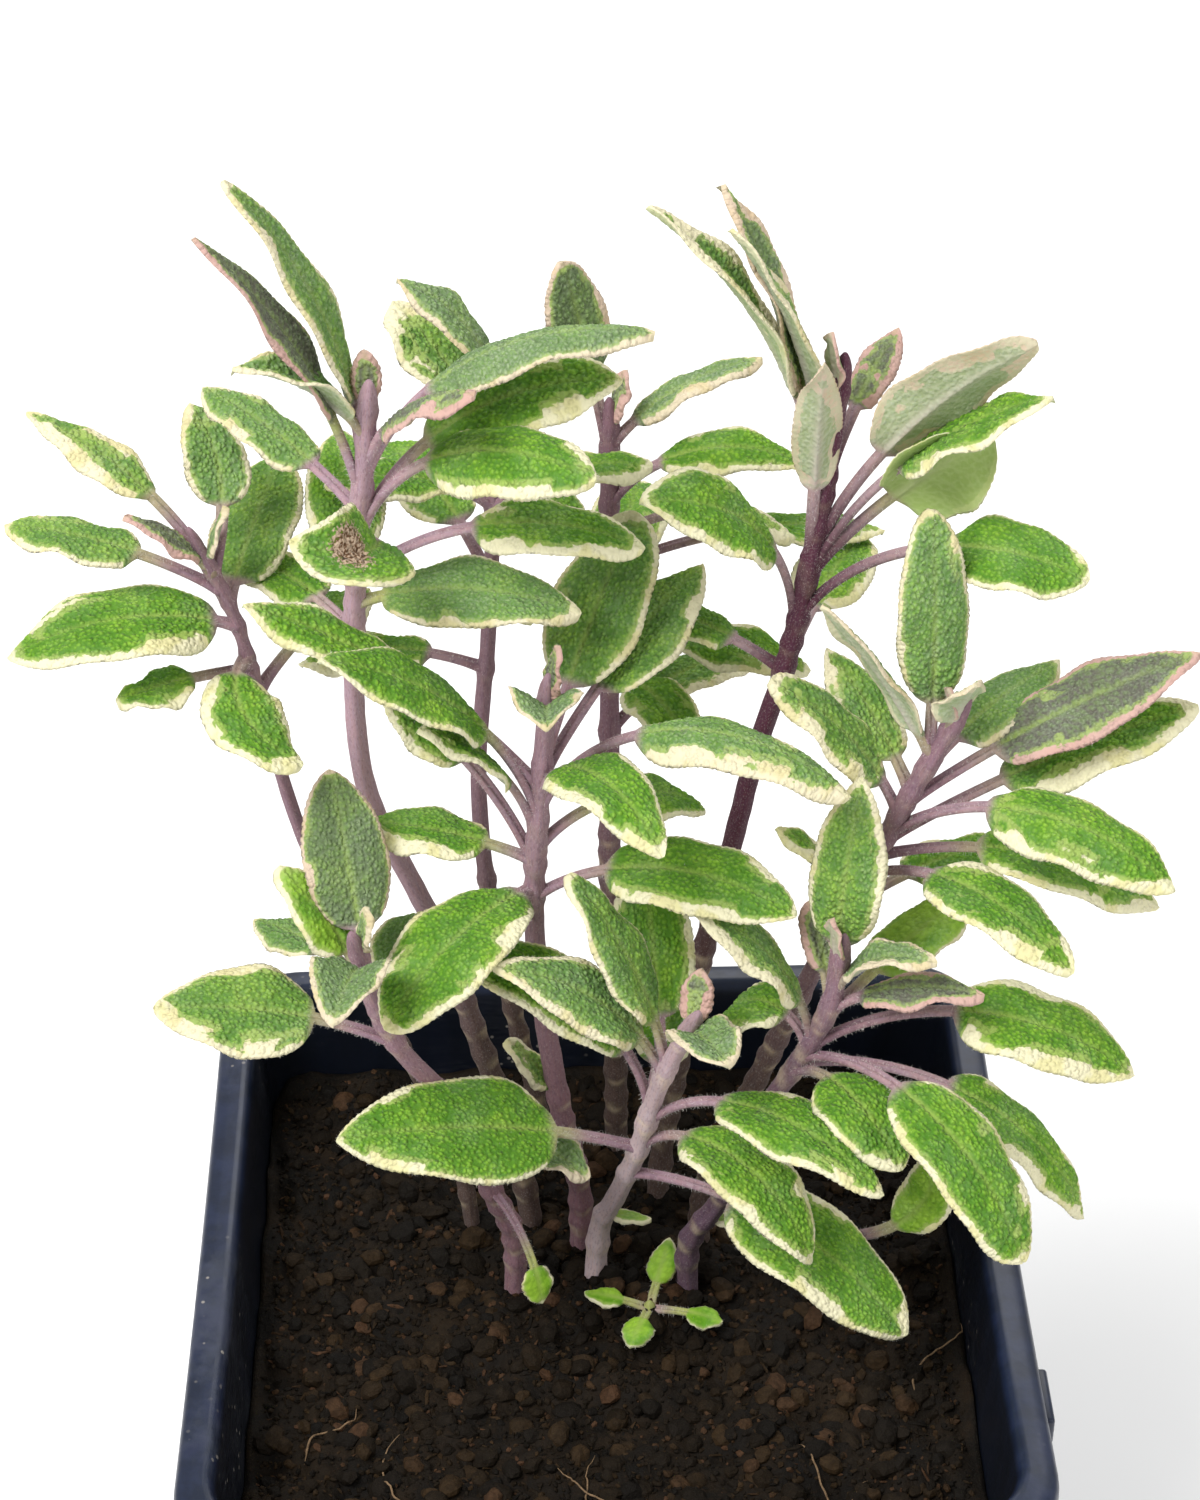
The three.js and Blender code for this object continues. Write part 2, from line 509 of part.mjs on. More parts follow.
function stemSolid(curve, foot, top, bud) {
  const length = curve.getLength();
  const steps = Math.max(3, Math.round(length / stemStep));
  const centres = curve.getSpacedPoints(steps);
  const tangents = centres.map((_, i) => curve.getTangentAt(i / steps));
  const radii = centres.map((_, i) => foot + (top - foot) * i / steps);
  centres.push(centres[steps].clone().addScaledVector(tangents[steps], bud));
  tangents.push(tangents[steps]);
  radii.push(top * 0.4);
  const rings = centres.map((centre, i) => {
    const across = new THREE.Vector3(0, 1, 0).cross(tangents[i]).normalize();
    const away = tangents[i].clone().cross(across);
    return Array.from({ length: stemSides }, (_, side) => {
      const angle = side / stemSides * 2 * Math.PI;
      return centre.clone()
        .addScaledVector(across, radii[i] * Math.cos(angle))
        .addScaledVector(away, radii[i] * Math.sin(angle));
    });
  });
  return toSolid(ringSkin(rings, tubeFaces(stemSides), fanCap(stemSides)));
}

function makeShoot(shoot, foot, top, bud) {
  const curve = stemCurve(shoot);
  const leaves = shoot.leaves.map((leaf) => leafSolid(pointAtHeight(curve, leaf.at), leaf));
  const solid = wasm.Manifold.union([stemSolid(curve, foot, top, bud), ...leaves]).simplify(flatWithin);
  return toMesh(solid, shoot.name, sageLeaf);
}

// Compost filling the pot, with a lumpy top and a plain hole for each foot.
function makeCompost() {
  const inset = 2 * (wallThickness + soilGap);
  const bottom = floorThickness + soilGap;
  const middle = (potHeight - rimDrop) * 0.5;
  const skirt = potHeight - rimDrop;
  const level = (height) => {
    const bow = height > middle
      ? sideBow * (0.3 + 0.7 * (height - middle) / (skirt - middle))
      : sideBow * 0.3 * height / middle;
    return squareRing(wallSide(height) - inset, wallCorner(height) - wallThickness, bow, height);
  };
  const rings = [level(bottom), level(middle), level(soilTop)];
  const edge = rings[2];
  const sides = edge.length;
  for (const scale of [0.78, 0.52, 0.26]) {
    rings.push(edge.map(({ x, y }) => {
      const bump = Math.sin(x * scale * 0.31 + 1.3) * Math.cos(y * scale * 0.27 + 0.4);
      return new THREE.Vector3(x * scale, y * scale, soilTop + soilBump * bump * (1 - scale));
    }));
  }
  let solid = toSolid(ringSkin(rings, tubeFaces(sides), fanCap(sides)));
  const holes = [...shoots.map((shoot) => [shoot, footRadius * (shoot.girth ?? 1)]),
    [sprout, sproutRadius]];
  for (const [shoot, radius] of holes) {
    const [x, y] = shoot.route[0];
    const depth = footDepth + holeGap;
    const hole = new THREE.CylinderGeometry(radius + holeGap, radius + holeGap, depth + 5, 12);
    hole.rotateX(Math.PI / 2);
    hole.translate(x, y, soilTop - depth + (depth + 5) / 2);
    solid = solid.subtract(toSolid(hole));
  }
  return toMesh(solid, "compost", compost);
}


const group = new THREE.Group();
group.add(makePot());
group.add(makeCompost());
for (const shoot of shoots) {
  const girth = shoot.girth ?? 1;
  group.add(makeShoot(shoot, footRadius * girth, topRadius * girth, budLength));
}
group.add(makeShoot(sprout, sproutRadius, sproutRadius * 0.8, 0.8));

export default group;
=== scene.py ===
import math
import bmesh
import bpy
import numpy as np
from mathutils import Matrix, Vector


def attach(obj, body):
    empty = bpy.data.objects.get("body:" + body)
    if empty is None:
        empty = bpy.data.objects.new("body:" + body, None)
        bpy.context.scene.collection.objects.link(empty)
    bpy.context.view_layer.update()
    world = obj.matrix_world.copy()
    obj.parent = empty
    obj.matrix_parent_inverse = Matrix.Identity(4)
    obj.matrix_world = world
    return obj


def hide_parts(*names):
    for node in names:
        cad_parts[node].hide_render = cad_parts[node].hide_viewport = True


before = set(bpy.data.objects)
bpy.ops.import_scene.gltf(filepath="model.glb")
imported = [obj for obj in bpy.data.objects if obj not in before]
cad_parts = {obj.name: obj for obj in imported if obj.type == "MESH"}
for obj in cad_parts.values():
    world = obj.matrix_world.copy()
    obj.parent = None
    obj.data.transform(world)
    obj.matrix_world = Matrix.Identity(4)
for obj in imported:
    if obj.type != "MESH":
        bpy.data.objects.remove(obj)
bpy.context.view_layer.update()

mm = 0.001


class Wire:
    # a socket of a node tree, with the sums that the finishes use
    def __init__(self, tree, socket):
        self.tree = tree
        self.socket = socket

    def sum(self, operation, first, second):
        return self.tree.add("ShaderNodeMath", {"operation": operation}, {0: first, 1: second})

    def __add__(self, other):
        return self.sum("ADD", self, other)

    def __radd__(self, other):
        return self.sum("ADD", other, self)

    def __sub__(self, other):
        return self.sum("SUBTRACT", self, other)

    def __rsub__(self, other):
        return self.sum("SUBTRACT", other, self)

    def __mul__(self, other):
        return self.sum("MULTIPLY", self, other)

    def __rmul__(self, other):
        return self.sum("MULTIPLY", other, self)


class NodeSheet:
    # a node tree of a material or of a geometry modifier
    def __init__(self, tree):
        self.tree = tree
        self.tree.nodes.clear()

    def add(self, kind, settings=None, values=None, output=0):
        node = self.tree.nodes.new(kind)
        for key, value in (settings or {}).items():
            if key == "stops":
                self.setStops(node.color_ramp, value)
            else:
                setattr(node, key, value)
        for key, value in (values or {}).items():
            if isinstance(value, Wire):
                self.tree.links.new(value.socket, node.inputs[key])
            else:
                node.inputs[key].default_value = value
        return Wire(self, node.outputs[output]) if len(node.outputs) else node

    def setStops(self, ramp, stops):
        while len(ramp.elements) < len(stops):
            ramp.elements.new(0.5)
        for element, (place, colour) in zip(ramp.elements, stops):
            element.position = place
            element.color = (*colour, 1)

    def other(self, wire, output):
        # another output of the node that a wire leaves
        return Wire(self, wire.socket.node.outputs[output])

    def attribute(self, name, output="Fac"):
        return self.add("ShaderNodeAttribute", {"attribute_name": name}, output=output)

    def mix(self, factor, first, second, blend="MIX"):
        settings = {"data_type": "RGBA", "blend_type": blend}
        first = first if isinstance(first, Wire) else (*first, 1)
        second = second if isinstance(second, Wire) else (*second, 1)
        return self.add("ShaderNodeMix", settings, {0: factor, 6: first, 7: second}, 2)

    def coat(self, colour, *layers):
        # colours laid over a first one, each by its own factor
        for factor, over in layers:
            colour = self.mix(factor, colour, over)
        return colour

    def ease(self, value, low, high):
        # 0 below low, 1 above high, and a soft step between
        return self.add("ShaderNodeMapRange", {"interpolation_type": "SMOOTHSTEP"},
            {"Value": value, "From Min": low, "From Max": high})

    def noise(self, place, scale, detail=2.0, roughness=0.5):
        return self.add("ShaderNodeTexNoise", None,
            {"Vector": place, "Scale": scale, "Detail": detail, "Roughness": roughness})

    def cells(self, place, scale, output="Distance"):
        return self.add("ShaderNodeTexVoronoi", {"feature": "F1"}, {"Vector": place, "Scale": scale}, output)

    def stretch(self, place, sizes):
        return self.add("ShaderNodeMapping", None, {"Vector": place, "Scale": sizes})

    def bump(self, height, strength, distance, under=None):
        values = {"Height": height, "Strength": strength, "Distance": distance}
        if under is not None:
            values["Normal"] = under
        return self.add("ShaderNodeBump", None, values)

    def number(self, low, high, seed):
        # a random number for each point
        return self.add("FunctionNodeRandomValue", {"data_type": "FLOAT"},
            {2: low, 3: high, "Seed": seed}, 1)

    def vector(self, low, high, seed):
        # a random vector for each point
        return self.add("FunctionNodeRandomValue", {"data_type": "FLOAT_VECTOR"},
            {0: low, 1: high, "Seed": seed})

    def join(self, operation, first, second, output=0):
        return self.add("ShaderNodeVectorMath", {"operation": operation}, {0: first, 1: second}, output)

    def named(self, name):
        return self.add("GeometryNodeInputNamedAttribute", {"data_type": "FLOAT"}, {"Name": name})

    def store(self, geometry, name, value):
        return self.add("GeometryNodeStoreNamedAttribute", {"data_type": "FLOAT", "domain": "POINT"},
            {"Geometry": geometry, "Name": name, "Value": value})

    def plant(self, points, shape, turn, size):
        # a real copy of the shape at each point
        placed = self.add("GeometryNodeInstanceOnPoints", None,
            {"Points": points, "Instance": shape, "Rotation": turn, "Scale": size})
        return self.add("GeometryNodeRealizeInstances", None, {"Geometry": placed})


def newFinish(name):
    material = bpy.data.materials.new(name)
    material.use_nodes = True
    return material, NodeSheet(material.node_tree)


def objectPlace(sheet):
    return sheet.add("ShaderNodeTexCoord", output="Object")


def endFinish(sheet, values):
    # a Principled surface from its socket values
    body = sheet.add("ShaderNodeBsdfPrincipled", None, values)
    sheet.add("ShaderNodeOutputMaterial", None, {"Surface": body})


def startScatter(name):
    # a node tree that takes a surface, a density and a seed
    tree = bpy.data.node_groups.new(name, "GeometryNodeTree")
    tree.interface.new_socket("Geometry", in_out="OUTPUT", socket_type="NodeSocketGeometry")
    for label, kind in (("Geometry", "Geometry"), ("Density", "Float"), ("Seed", "Int")):
        tree.interface.new_socket(label, in_out="INPUT", socket_type="NodeSocket" + kind)
    sheet = NodeSheet(tree)
    surface = sheet.add("NodeGroupInput")
    return sheet, surface, sheet.other(surface, 1), sheet.other(surface, 2)


def endScatter(piece, sheet, geometry, finish, density, seed):
    # the piece becomes what the node tree makes of it, with a density for each square mm
    finished = sheet.add("GeometryNodeSetMaterial", None, {"Geometry": geometry, "Material": finish})
    sheet.add("NodeGroupOutput", None, {0: finished})
    step = piece.modifiers.new("scatter", "NODES")
    step.node_group = sheet.tree
    inputs = {"Density": density / mm ** 2, "Seed": seed}
    for item in sheet.tree.interface.items_tree:
        if item.in_out == "INPUT" and item.name in inputs:
            step[item.identifier] = inputs[item.name]
    keepResult(piece)


def keepResult(piece):
    # the piece with its modifiers applied, as a plain mesh
    ready = piece.evaluated_get(bpy.context.evaluated_depsgraph_get())
    mesh = bpy.data.meshes.new_from_object(ready)
    piece.modifiers.clear()
    piece.data = mesh


def newObject(name, content):
    thing = bpy.data.objects.new(name, content)
    bpy.context.scene.collection.objects.link(thing)
    return thing


def meshPiece(name, places, faces, material, values=None, tints=None):
    # places in millimetres; values and tints are numbers and colours kept on the corners
    mesh = bpy.data.meshes.new(name)
    mesh.from_pydata((np.asarray(places) * mm).tolist(), [], faces)
    mesh.polygons.foreach_set("use_smooth", np.ones(len(mesh.polygons), bool))
    for key, column in (values or {}).items():
        column = np.asarray(column, dtype=np.float32)
        kind = "FLOAT" if column.ndim == 1 else "FLOAT_VECTOR"
        field = "value" if column.ndim == 1 else "vector"
        mesh.attributes.new(key, kind, "POINT").data.foreach_set(field, column.ravel())
    for key, column in (tints or {}).items():
        rgba = np.ones((len(column), 4), dtype=np.float32)
        rgba[:, :3] = column
        mesh.attributes.new(key, "FLOAT_COLOR", "POINT").data.foreach_set("color", rgba.ravel())
    mesh.materials.append(material)
    mesh.update()
    return newObject(name, mesh)


def ringFaces(stations, sides, first=0):
    # quads between rings, and a fan at each end round a middle corner
    faces = []
    for station in range(stations - 1):
        low = first + station * sides
        for side in range(sides):
            after = (side + 1) % sides
            faces.append((low + side, low + after, low + sides + after, low + sides + side))
    startMiddle = first + stations * sides
    last = first + (stations - 1) * sides
    for side in range(sides):
        after = (side + 1) % sides
        faces.append((startMiddle, first + after, first + side))
        faces.append((startMiddle + 1, last + side, last + after))
    return faces


def closeRings(rings):
    # rings as (station, side, xyz): the corners in order, then the two end middles
    return np.vstack([rings.reshape(-1, 3), rings[0].mean(0), rings[-1].mean(0)])


def ringPiece(name, rings, material, values=None):
    rings = np.array(rings)
    return meshPiece(name, closeRings(rings), ringFaces(*rings.shape[:2]), material, values)


def sweepRings(middle, first, second, wide, high):
    # rings along a middle line, from how far each corner lies along two directions
    return middle[:, None] + first[:, None] * wide[..., None] + second[:, None] * high[..., None]


def pointsOn(line, marks, places):
    # points of a line at places, where its own points lie at the marks
    return np.stack([np.interp(places, marks, line[:, k]) for k in range(3)], -1)


def softStep(value, low, high):
    part = np.clip((value - low) / (high - low), 0, 1)
    return part * part * (3 - 2 * part)


def hump(away, width):
    return np.exp(-(away / width) ** 2)


def blend(first, second, part):
    return np.asarray(first) * (1 - part) + np.asarray(second) * part


def scatter(points, seed):
    # a steady random number from 0 to 1 for each whole-number place
    mixed = np.sin(points[..., 0] * 127.1 + points[..., 1] * 311.7 + seed * 74.7) * 43758.5453
    return mixed - np.floor(mixed)


def ripple(points, size, seed):
    # a smooth random height from about -1 to 1, with bumps of about the given size
    draw = np.random.default_rng(seed)
    total = np.zeros(points.shape[:-1])
    for _ in range(7):
        way = draw.normal(size=points.shape[-1])
        way *= draw.uniform(0.6, 1.5) * 2 * math.pi / (size * 2 * np.linalg.norm(way))
        total += np.sin(points @ way + draw.uniform(0, 2 * math.pi))
    return total / 3.2


def cellHeight(along, across, size, seed):
    # raised cells with sunken borders: 0 on a border, 1 on a cell's top
    grid = np.stack([along / size, across / size], -1)
    base = np.floor(grid)
    nearest = np.full(grid.shape[:-1], 9.0)
    second = np.full(grid.shape[:-1], 9.0)
    for stepAlong in (-1, 0, 1):
        for stepAcross in (-1, 0, 1):
            cell = base + (stepAlong, stepAcross)
            centre = cell + 0.5 + 0.7 * (np.stack([scatter(cell, seed), scatter(cell, seed + 9)], -1) - 0.5)
            gap = np.linalg.norm(grid - centre, axis=-1)
            second = np.minimum(second, np.maximum(nearest, gap))
            nearest = np.minimum(nearest, gap)
    return softStep(second - nearest, 0.0, 0.5)


# what each corner of a leaf or stem says to its finish, and, in the last two, to its down
leafValues = ("edge", "pebble", "rib", "burn", "under", "stalk", "young", "smooth", "felt", "warm",
    "cream", "lobes", "fuzz", "hair")


def makeSageFinish():
    colours = {
        "deep": (0.135, 0.35, 0.010), "mid": (0.22, 0.48, 0.018), "lightGreenAndHighlight": (0.36, 0.60, 0.05),
        "vein": (0.05, 0.17, 0.010), "pale": (0.42, 0.55, 0.13), "margin": (0.86, 0.81, 0.56),
        "lemon": (0.70, 0.66, 0.20), "blush": (0.62, 0.36, 0.34),
        "plum": (0.13, 0.085, 0.105), "plumTop": (0.15, 0.17, 0.09),
        "down": (0.46, 0.54, 0.40), "back": (0.31, 0.42, 0.18), "rib": (0.36, 0.50, 0.10),
        "backVein": (0.54, 0.60, 0.38), "backRib": (0.60, 0.52, 0.48),
        "burn": (0.15, 0.075, 0.035), "ash": (0.62, 0.47, 0.34),
    }
    material, sheet = newFinish("sage_leaf")
    spot = sheet.attribute("spot", "Vector")
    edge, pebble, rib, burn, under, stalk, young, smooth, felt, warm, cream, lobes = (
        sheet.attribute(name) for name in leafValues[:-2])

    # the green: darker and lighter patches at random, darker along veins and cell borders, painted shade in
    # the grooves between raised cells and a painted highlight on their tops
    patch = sheet.noise(spot, 0.22, 3.0)
    fine = sheet.noise(spot, 3.0, 3.0)
    dome = sheet.ease(sheet.cells(sheet.stretch(spot, (1.0, 1.15, 1.0)), 1.38), 0.72, 0.1)
    grooveShade = sheet.ease(dome, 0.45, 0.0) * (1 - smooth)
    plum = sheet.mix(sheet.ease(pebble * 0.5 + patch, 0.6, 1.0), colours["plum"], colours["plumTop"])
    green = sheet.coat(colours["deep"],
        (sheet.ease(patch, 0.36, 0.62), colours["mid"]),
        (sheet.ease(patch + warm * 0.3, 0.55, 0.85), colours["lightGreenAndHighlight"]),
        (sheet.ease(pebble, 0.7, 0.0) * 0.25, colours["vein"]),
        # painted shade in the grooves, then a painted highlight on the cell tops
        (grooveShade * 0.6, colours["vein"]),
        (sheet.ease(dome + fine * 0.3, 0.6, 1.3) * 0.28, colours["lightGreenAndHighlight"]),
        (young * 0.85, plum))

    # the margin: cream, with a blocky border and a yellow-green zone inside it
    block = sheet.cells(sheet.stretch(spot, (0.32, 0.6, 1)), 1.0, "Color")
    small = sheet.cells(spot, 1.1, "Color")
    wide = sheet.ease(sheet.noise(spot, 0.13, 1.0) + lobes * 0.1, 0.61, 0.68)
    limit = cream * (0.28 + block * 0.4 + small * 0.3 + wide * 0.9)
    pale = sheet.ease(limit * 1.5 + 0.1 - edge, -0.3, 0.3)
    margin = sheet.ease(limit - edge, -0.12, 0.12)
    rim = sheet.coat(colours["margin"],
        (sheet.ease(patch, 0.5, 0.6) * 0.45, colours["lemon"]),
        (young * 0.85 + (patch - 0.5) * 0.3, colours["blush"]))

    # the underside, the felt, partly laid on as painted sheen, and one burnt patch
    back = sheet.coat(colours["back"],
        (margin * 0.85, rim),
        (sheet.ease(pebble, 0.7, 0.1) * 0.6, colours["backVein"]),
        (rib * 0.85, colours["backRib"]),
        (young * 0.25, colours["blush"]),
        (warm * 0.7, colours["pale"]))
    # the felt's own pale down, with more in random patches and on the cell tops as a painted sheen
    feltAndSheen = sheet.ease(sheet.noise(spot, 0.16, 2.0), 0.42, 0.7) * 0.3 + felt
    downAndSheen = (0.14 + sheet.ease(fine + dome * 0.2, 0.35, 0.85) * 0.4) * feltAndSheen * (1 - margin)
    singed = sheet.mix(sheet.ease(fine, 0.42, 0.6), colours["burn"], colours["ash"])
    leaf = sheet.coat(green,
        (pale * 0.75, colours["pale"]),
        (margin, rim),
        (rib * 0.85, colours["rib"]),
        (under, back),
        (downAndSheen, colours["down"]),
        (sheet.ease(burn + (fine - 0.5) * 1.1, 0.4, 0.6), singed))

    # stalks and stems: their own tint, streaked along
    streak = sheet.noise(sheet.stretch(spot, (0.35, 3.0, 1)), 1.0, 4.0, 0.6)
    mottle = sheet.noise(sheet.stretch(spot, (0.9, 1.6, 1)), 1.3, 3.0)
    tint = sheet.attribute("stalkTint", "Color")
    stem = sheet.mix(sheet.ease(streak, 0.3, 0.7), tint, (0.55, 0.5, 0.45), "OVERLAY")
    stem = sheet.mix(sheet.ease(fine, 0.5, 0.8) * 0.3, stem, (0.5, 0.46, 0.42))
    stem = sheet.mix(sheet.ease(mottle, 0.5, 0.66) * 0.38, stem, (0.42, 0.36, 0.40), "MULTIPLY")
    colour = sheet.mix(stalk, leaf, stem)

    down = sheet.bump(sheet.noise(objectPlace(sheet), 2600.0, 2.0), 0.35, 0.0002)
    swell = dome * (1 - stalk) * (1 - smooth) * (1 - margin * 0.4) * (1 - under * 0.75)
    grain = sheet.bump(swell, 0.85, 0.0004, down)
    body = sheet.add("ShaderNodeBsdfPrincipled", None, {
        "Base Color": colour, "Roughness": 0.62 + felt * 0.2 + (1 - pebble) * 0.1, "Normal": grain,
        "Specular IOR Level": 0.18, "Sheen Weight": 0.05, "Sheen Roughness": 0.4})
    glow = sheet.add("ShaderNodeBsdfTranslucent", None, {"Color": colour, "Normal": grain})
    through = sheet.add("ShaderNodeMixShader", None, {0: (1 - stalk) * 0.22, 1: body, 2: glow})
    sheet.add("ShaderNodeOutputMaterial", None, {"Surface": through})
    return material


def makeDownFinish():
    material, sheet = newFinish("sage_down")
    shade = sheet.noise(objectPlace(sheet), 300.0, 2.0)
    colour = sheet.mix(shade, (0.72, 0.66, 0.62), (0.86, 0.85, 0.78))
    endFinish(sheet, {"Base Color": colour, "Roughness": shade * 0.2 + 0.5, "IOR": 1.4, "Sheen Weight": 0.3})
    return material


def makePotFinish():
    # dark navy moulded plastic: faint upright streaks, scuffs, dust, dried splashes of water, and painted
    # shade inside the pot
    material, sheet = newFinish("pot_plastic")
    place = objectPlace(sheet)
    streak = sheet.noise(sheet.stretch(place, (1.0, 1.0, 0.05)), 260.0, 3.0, 0.6)
    cloud = sheet.noise(place, 28.0, 4.0, 0.55)
    scuff = sheet.noise(sheet.stretch(place, (1.0, 1.0, 5.0)), 320.0, 4.0, 0.65)
    dust = sheet.ease(cloud + scuff * 0.45, 0.72, 0.95)
    fleck = sheet.ease(sheet.cells(place, 420.0), 0.16, 0.08) * sheet.ease(cloud, 0.5, 0.62)
    colour = sheet.coat((0.006, 0.0105, 0.026),
        (sheet.ease(streak, 0.35, 0.7), (0.011, 0.018, 0.046)),
        (sheet.ease(streak * 0.6 + cloud * 0.5, 0.55, 0.75) * 0.35, (0.016, 0.016, 0.036)),
        (dust * 0.2, (0.10, 0.11, 0.14)),
        # painted shade: the inner walls and floor darkened where the foliage shades them
        (sheet.attribute("within") * 0.8, (0.0035, 0.0043, 0.006)),
        (fleck * 0.5, (0.42, 0.38, 0.33)))
    ripples = sheet.bump(streak, 0.15, 0.0003, sheet.bump(scuff, 0.12, 0.0002))
    rough = 0.27 + dust * 0.28 + scuff * 0.12
    endFinish(sheet, {"Base Color": colour, "Roughness": rough, "Normal": ripples, "IOR": 1.42})
    return material


def makeCompostFinish(name, tinted):
    material, sheet = newFinish(name)
    place = objectPlace(sheet)
    cloud = sheet.noise(place, 130.0, 4.0, 0.6)
    grit = sheet.noise(place, 900.0, 4.0, 0.65)
    dark = (0.004, 0.003, 0.002)
    if tinted:
        colour = sheet.add("ShaderNodeValToRGB", {"stops": (
            (0.0, dark), (0.6, (0.013, 0.0078, 0.0032)), (0.8, (0.032, 0.018, 0.007)),
            (0.91, (0.07, 0.034, 0.017)), (0.96, (0.17, 0.09, 0.045)), (1.0, (0.42, 0.33, 0.20)),
        )}, {"Fac": sheet.attribute("crumbTone")})
        colour = sheet.mix(sheet.ease(grit, 0.3, 0.7) * 0.5, colour, dark)
    else:
        colour = sheet.coat(dark,
            (sheet.ease(cloud, 0.35, 0.7), (0.014, 0.0085, 0.004)),
            (sheet.ease(grit, 0.55, 0.75) * 0.4, (0.028, 0.015, 0.008)))
    endFinish(sheet, {"Base Color": colour, "Roughness": 0.75 + (grit - 0.5) * 0.4,
        "Normal": sheet.bump(grit, 0.7, 0.0006), "Specular IOR Level": 0.12})
    return material


def makeStageFinish():
    material, sheet = newFinish("studio_floor")
    cloud = sheet.noise(objectPlace(sheet), 3.0, 2.0)
    colour = sheet.mix(cloud, (0.90, 0.90, 0.90), (0.93, 0.93, 0.93))
    endFinish(sheet, {"Base Color": colour, "Roughness": 0.9})
    return material


sageFinish = makeSageFinish()
downFinish = makeDownFinish()
potFinish = makePotFinish()
soilFinish = makeCompostFinish("compost_soil", False)
crumbFinish = makeCompostFinish("compost_crumb", True)
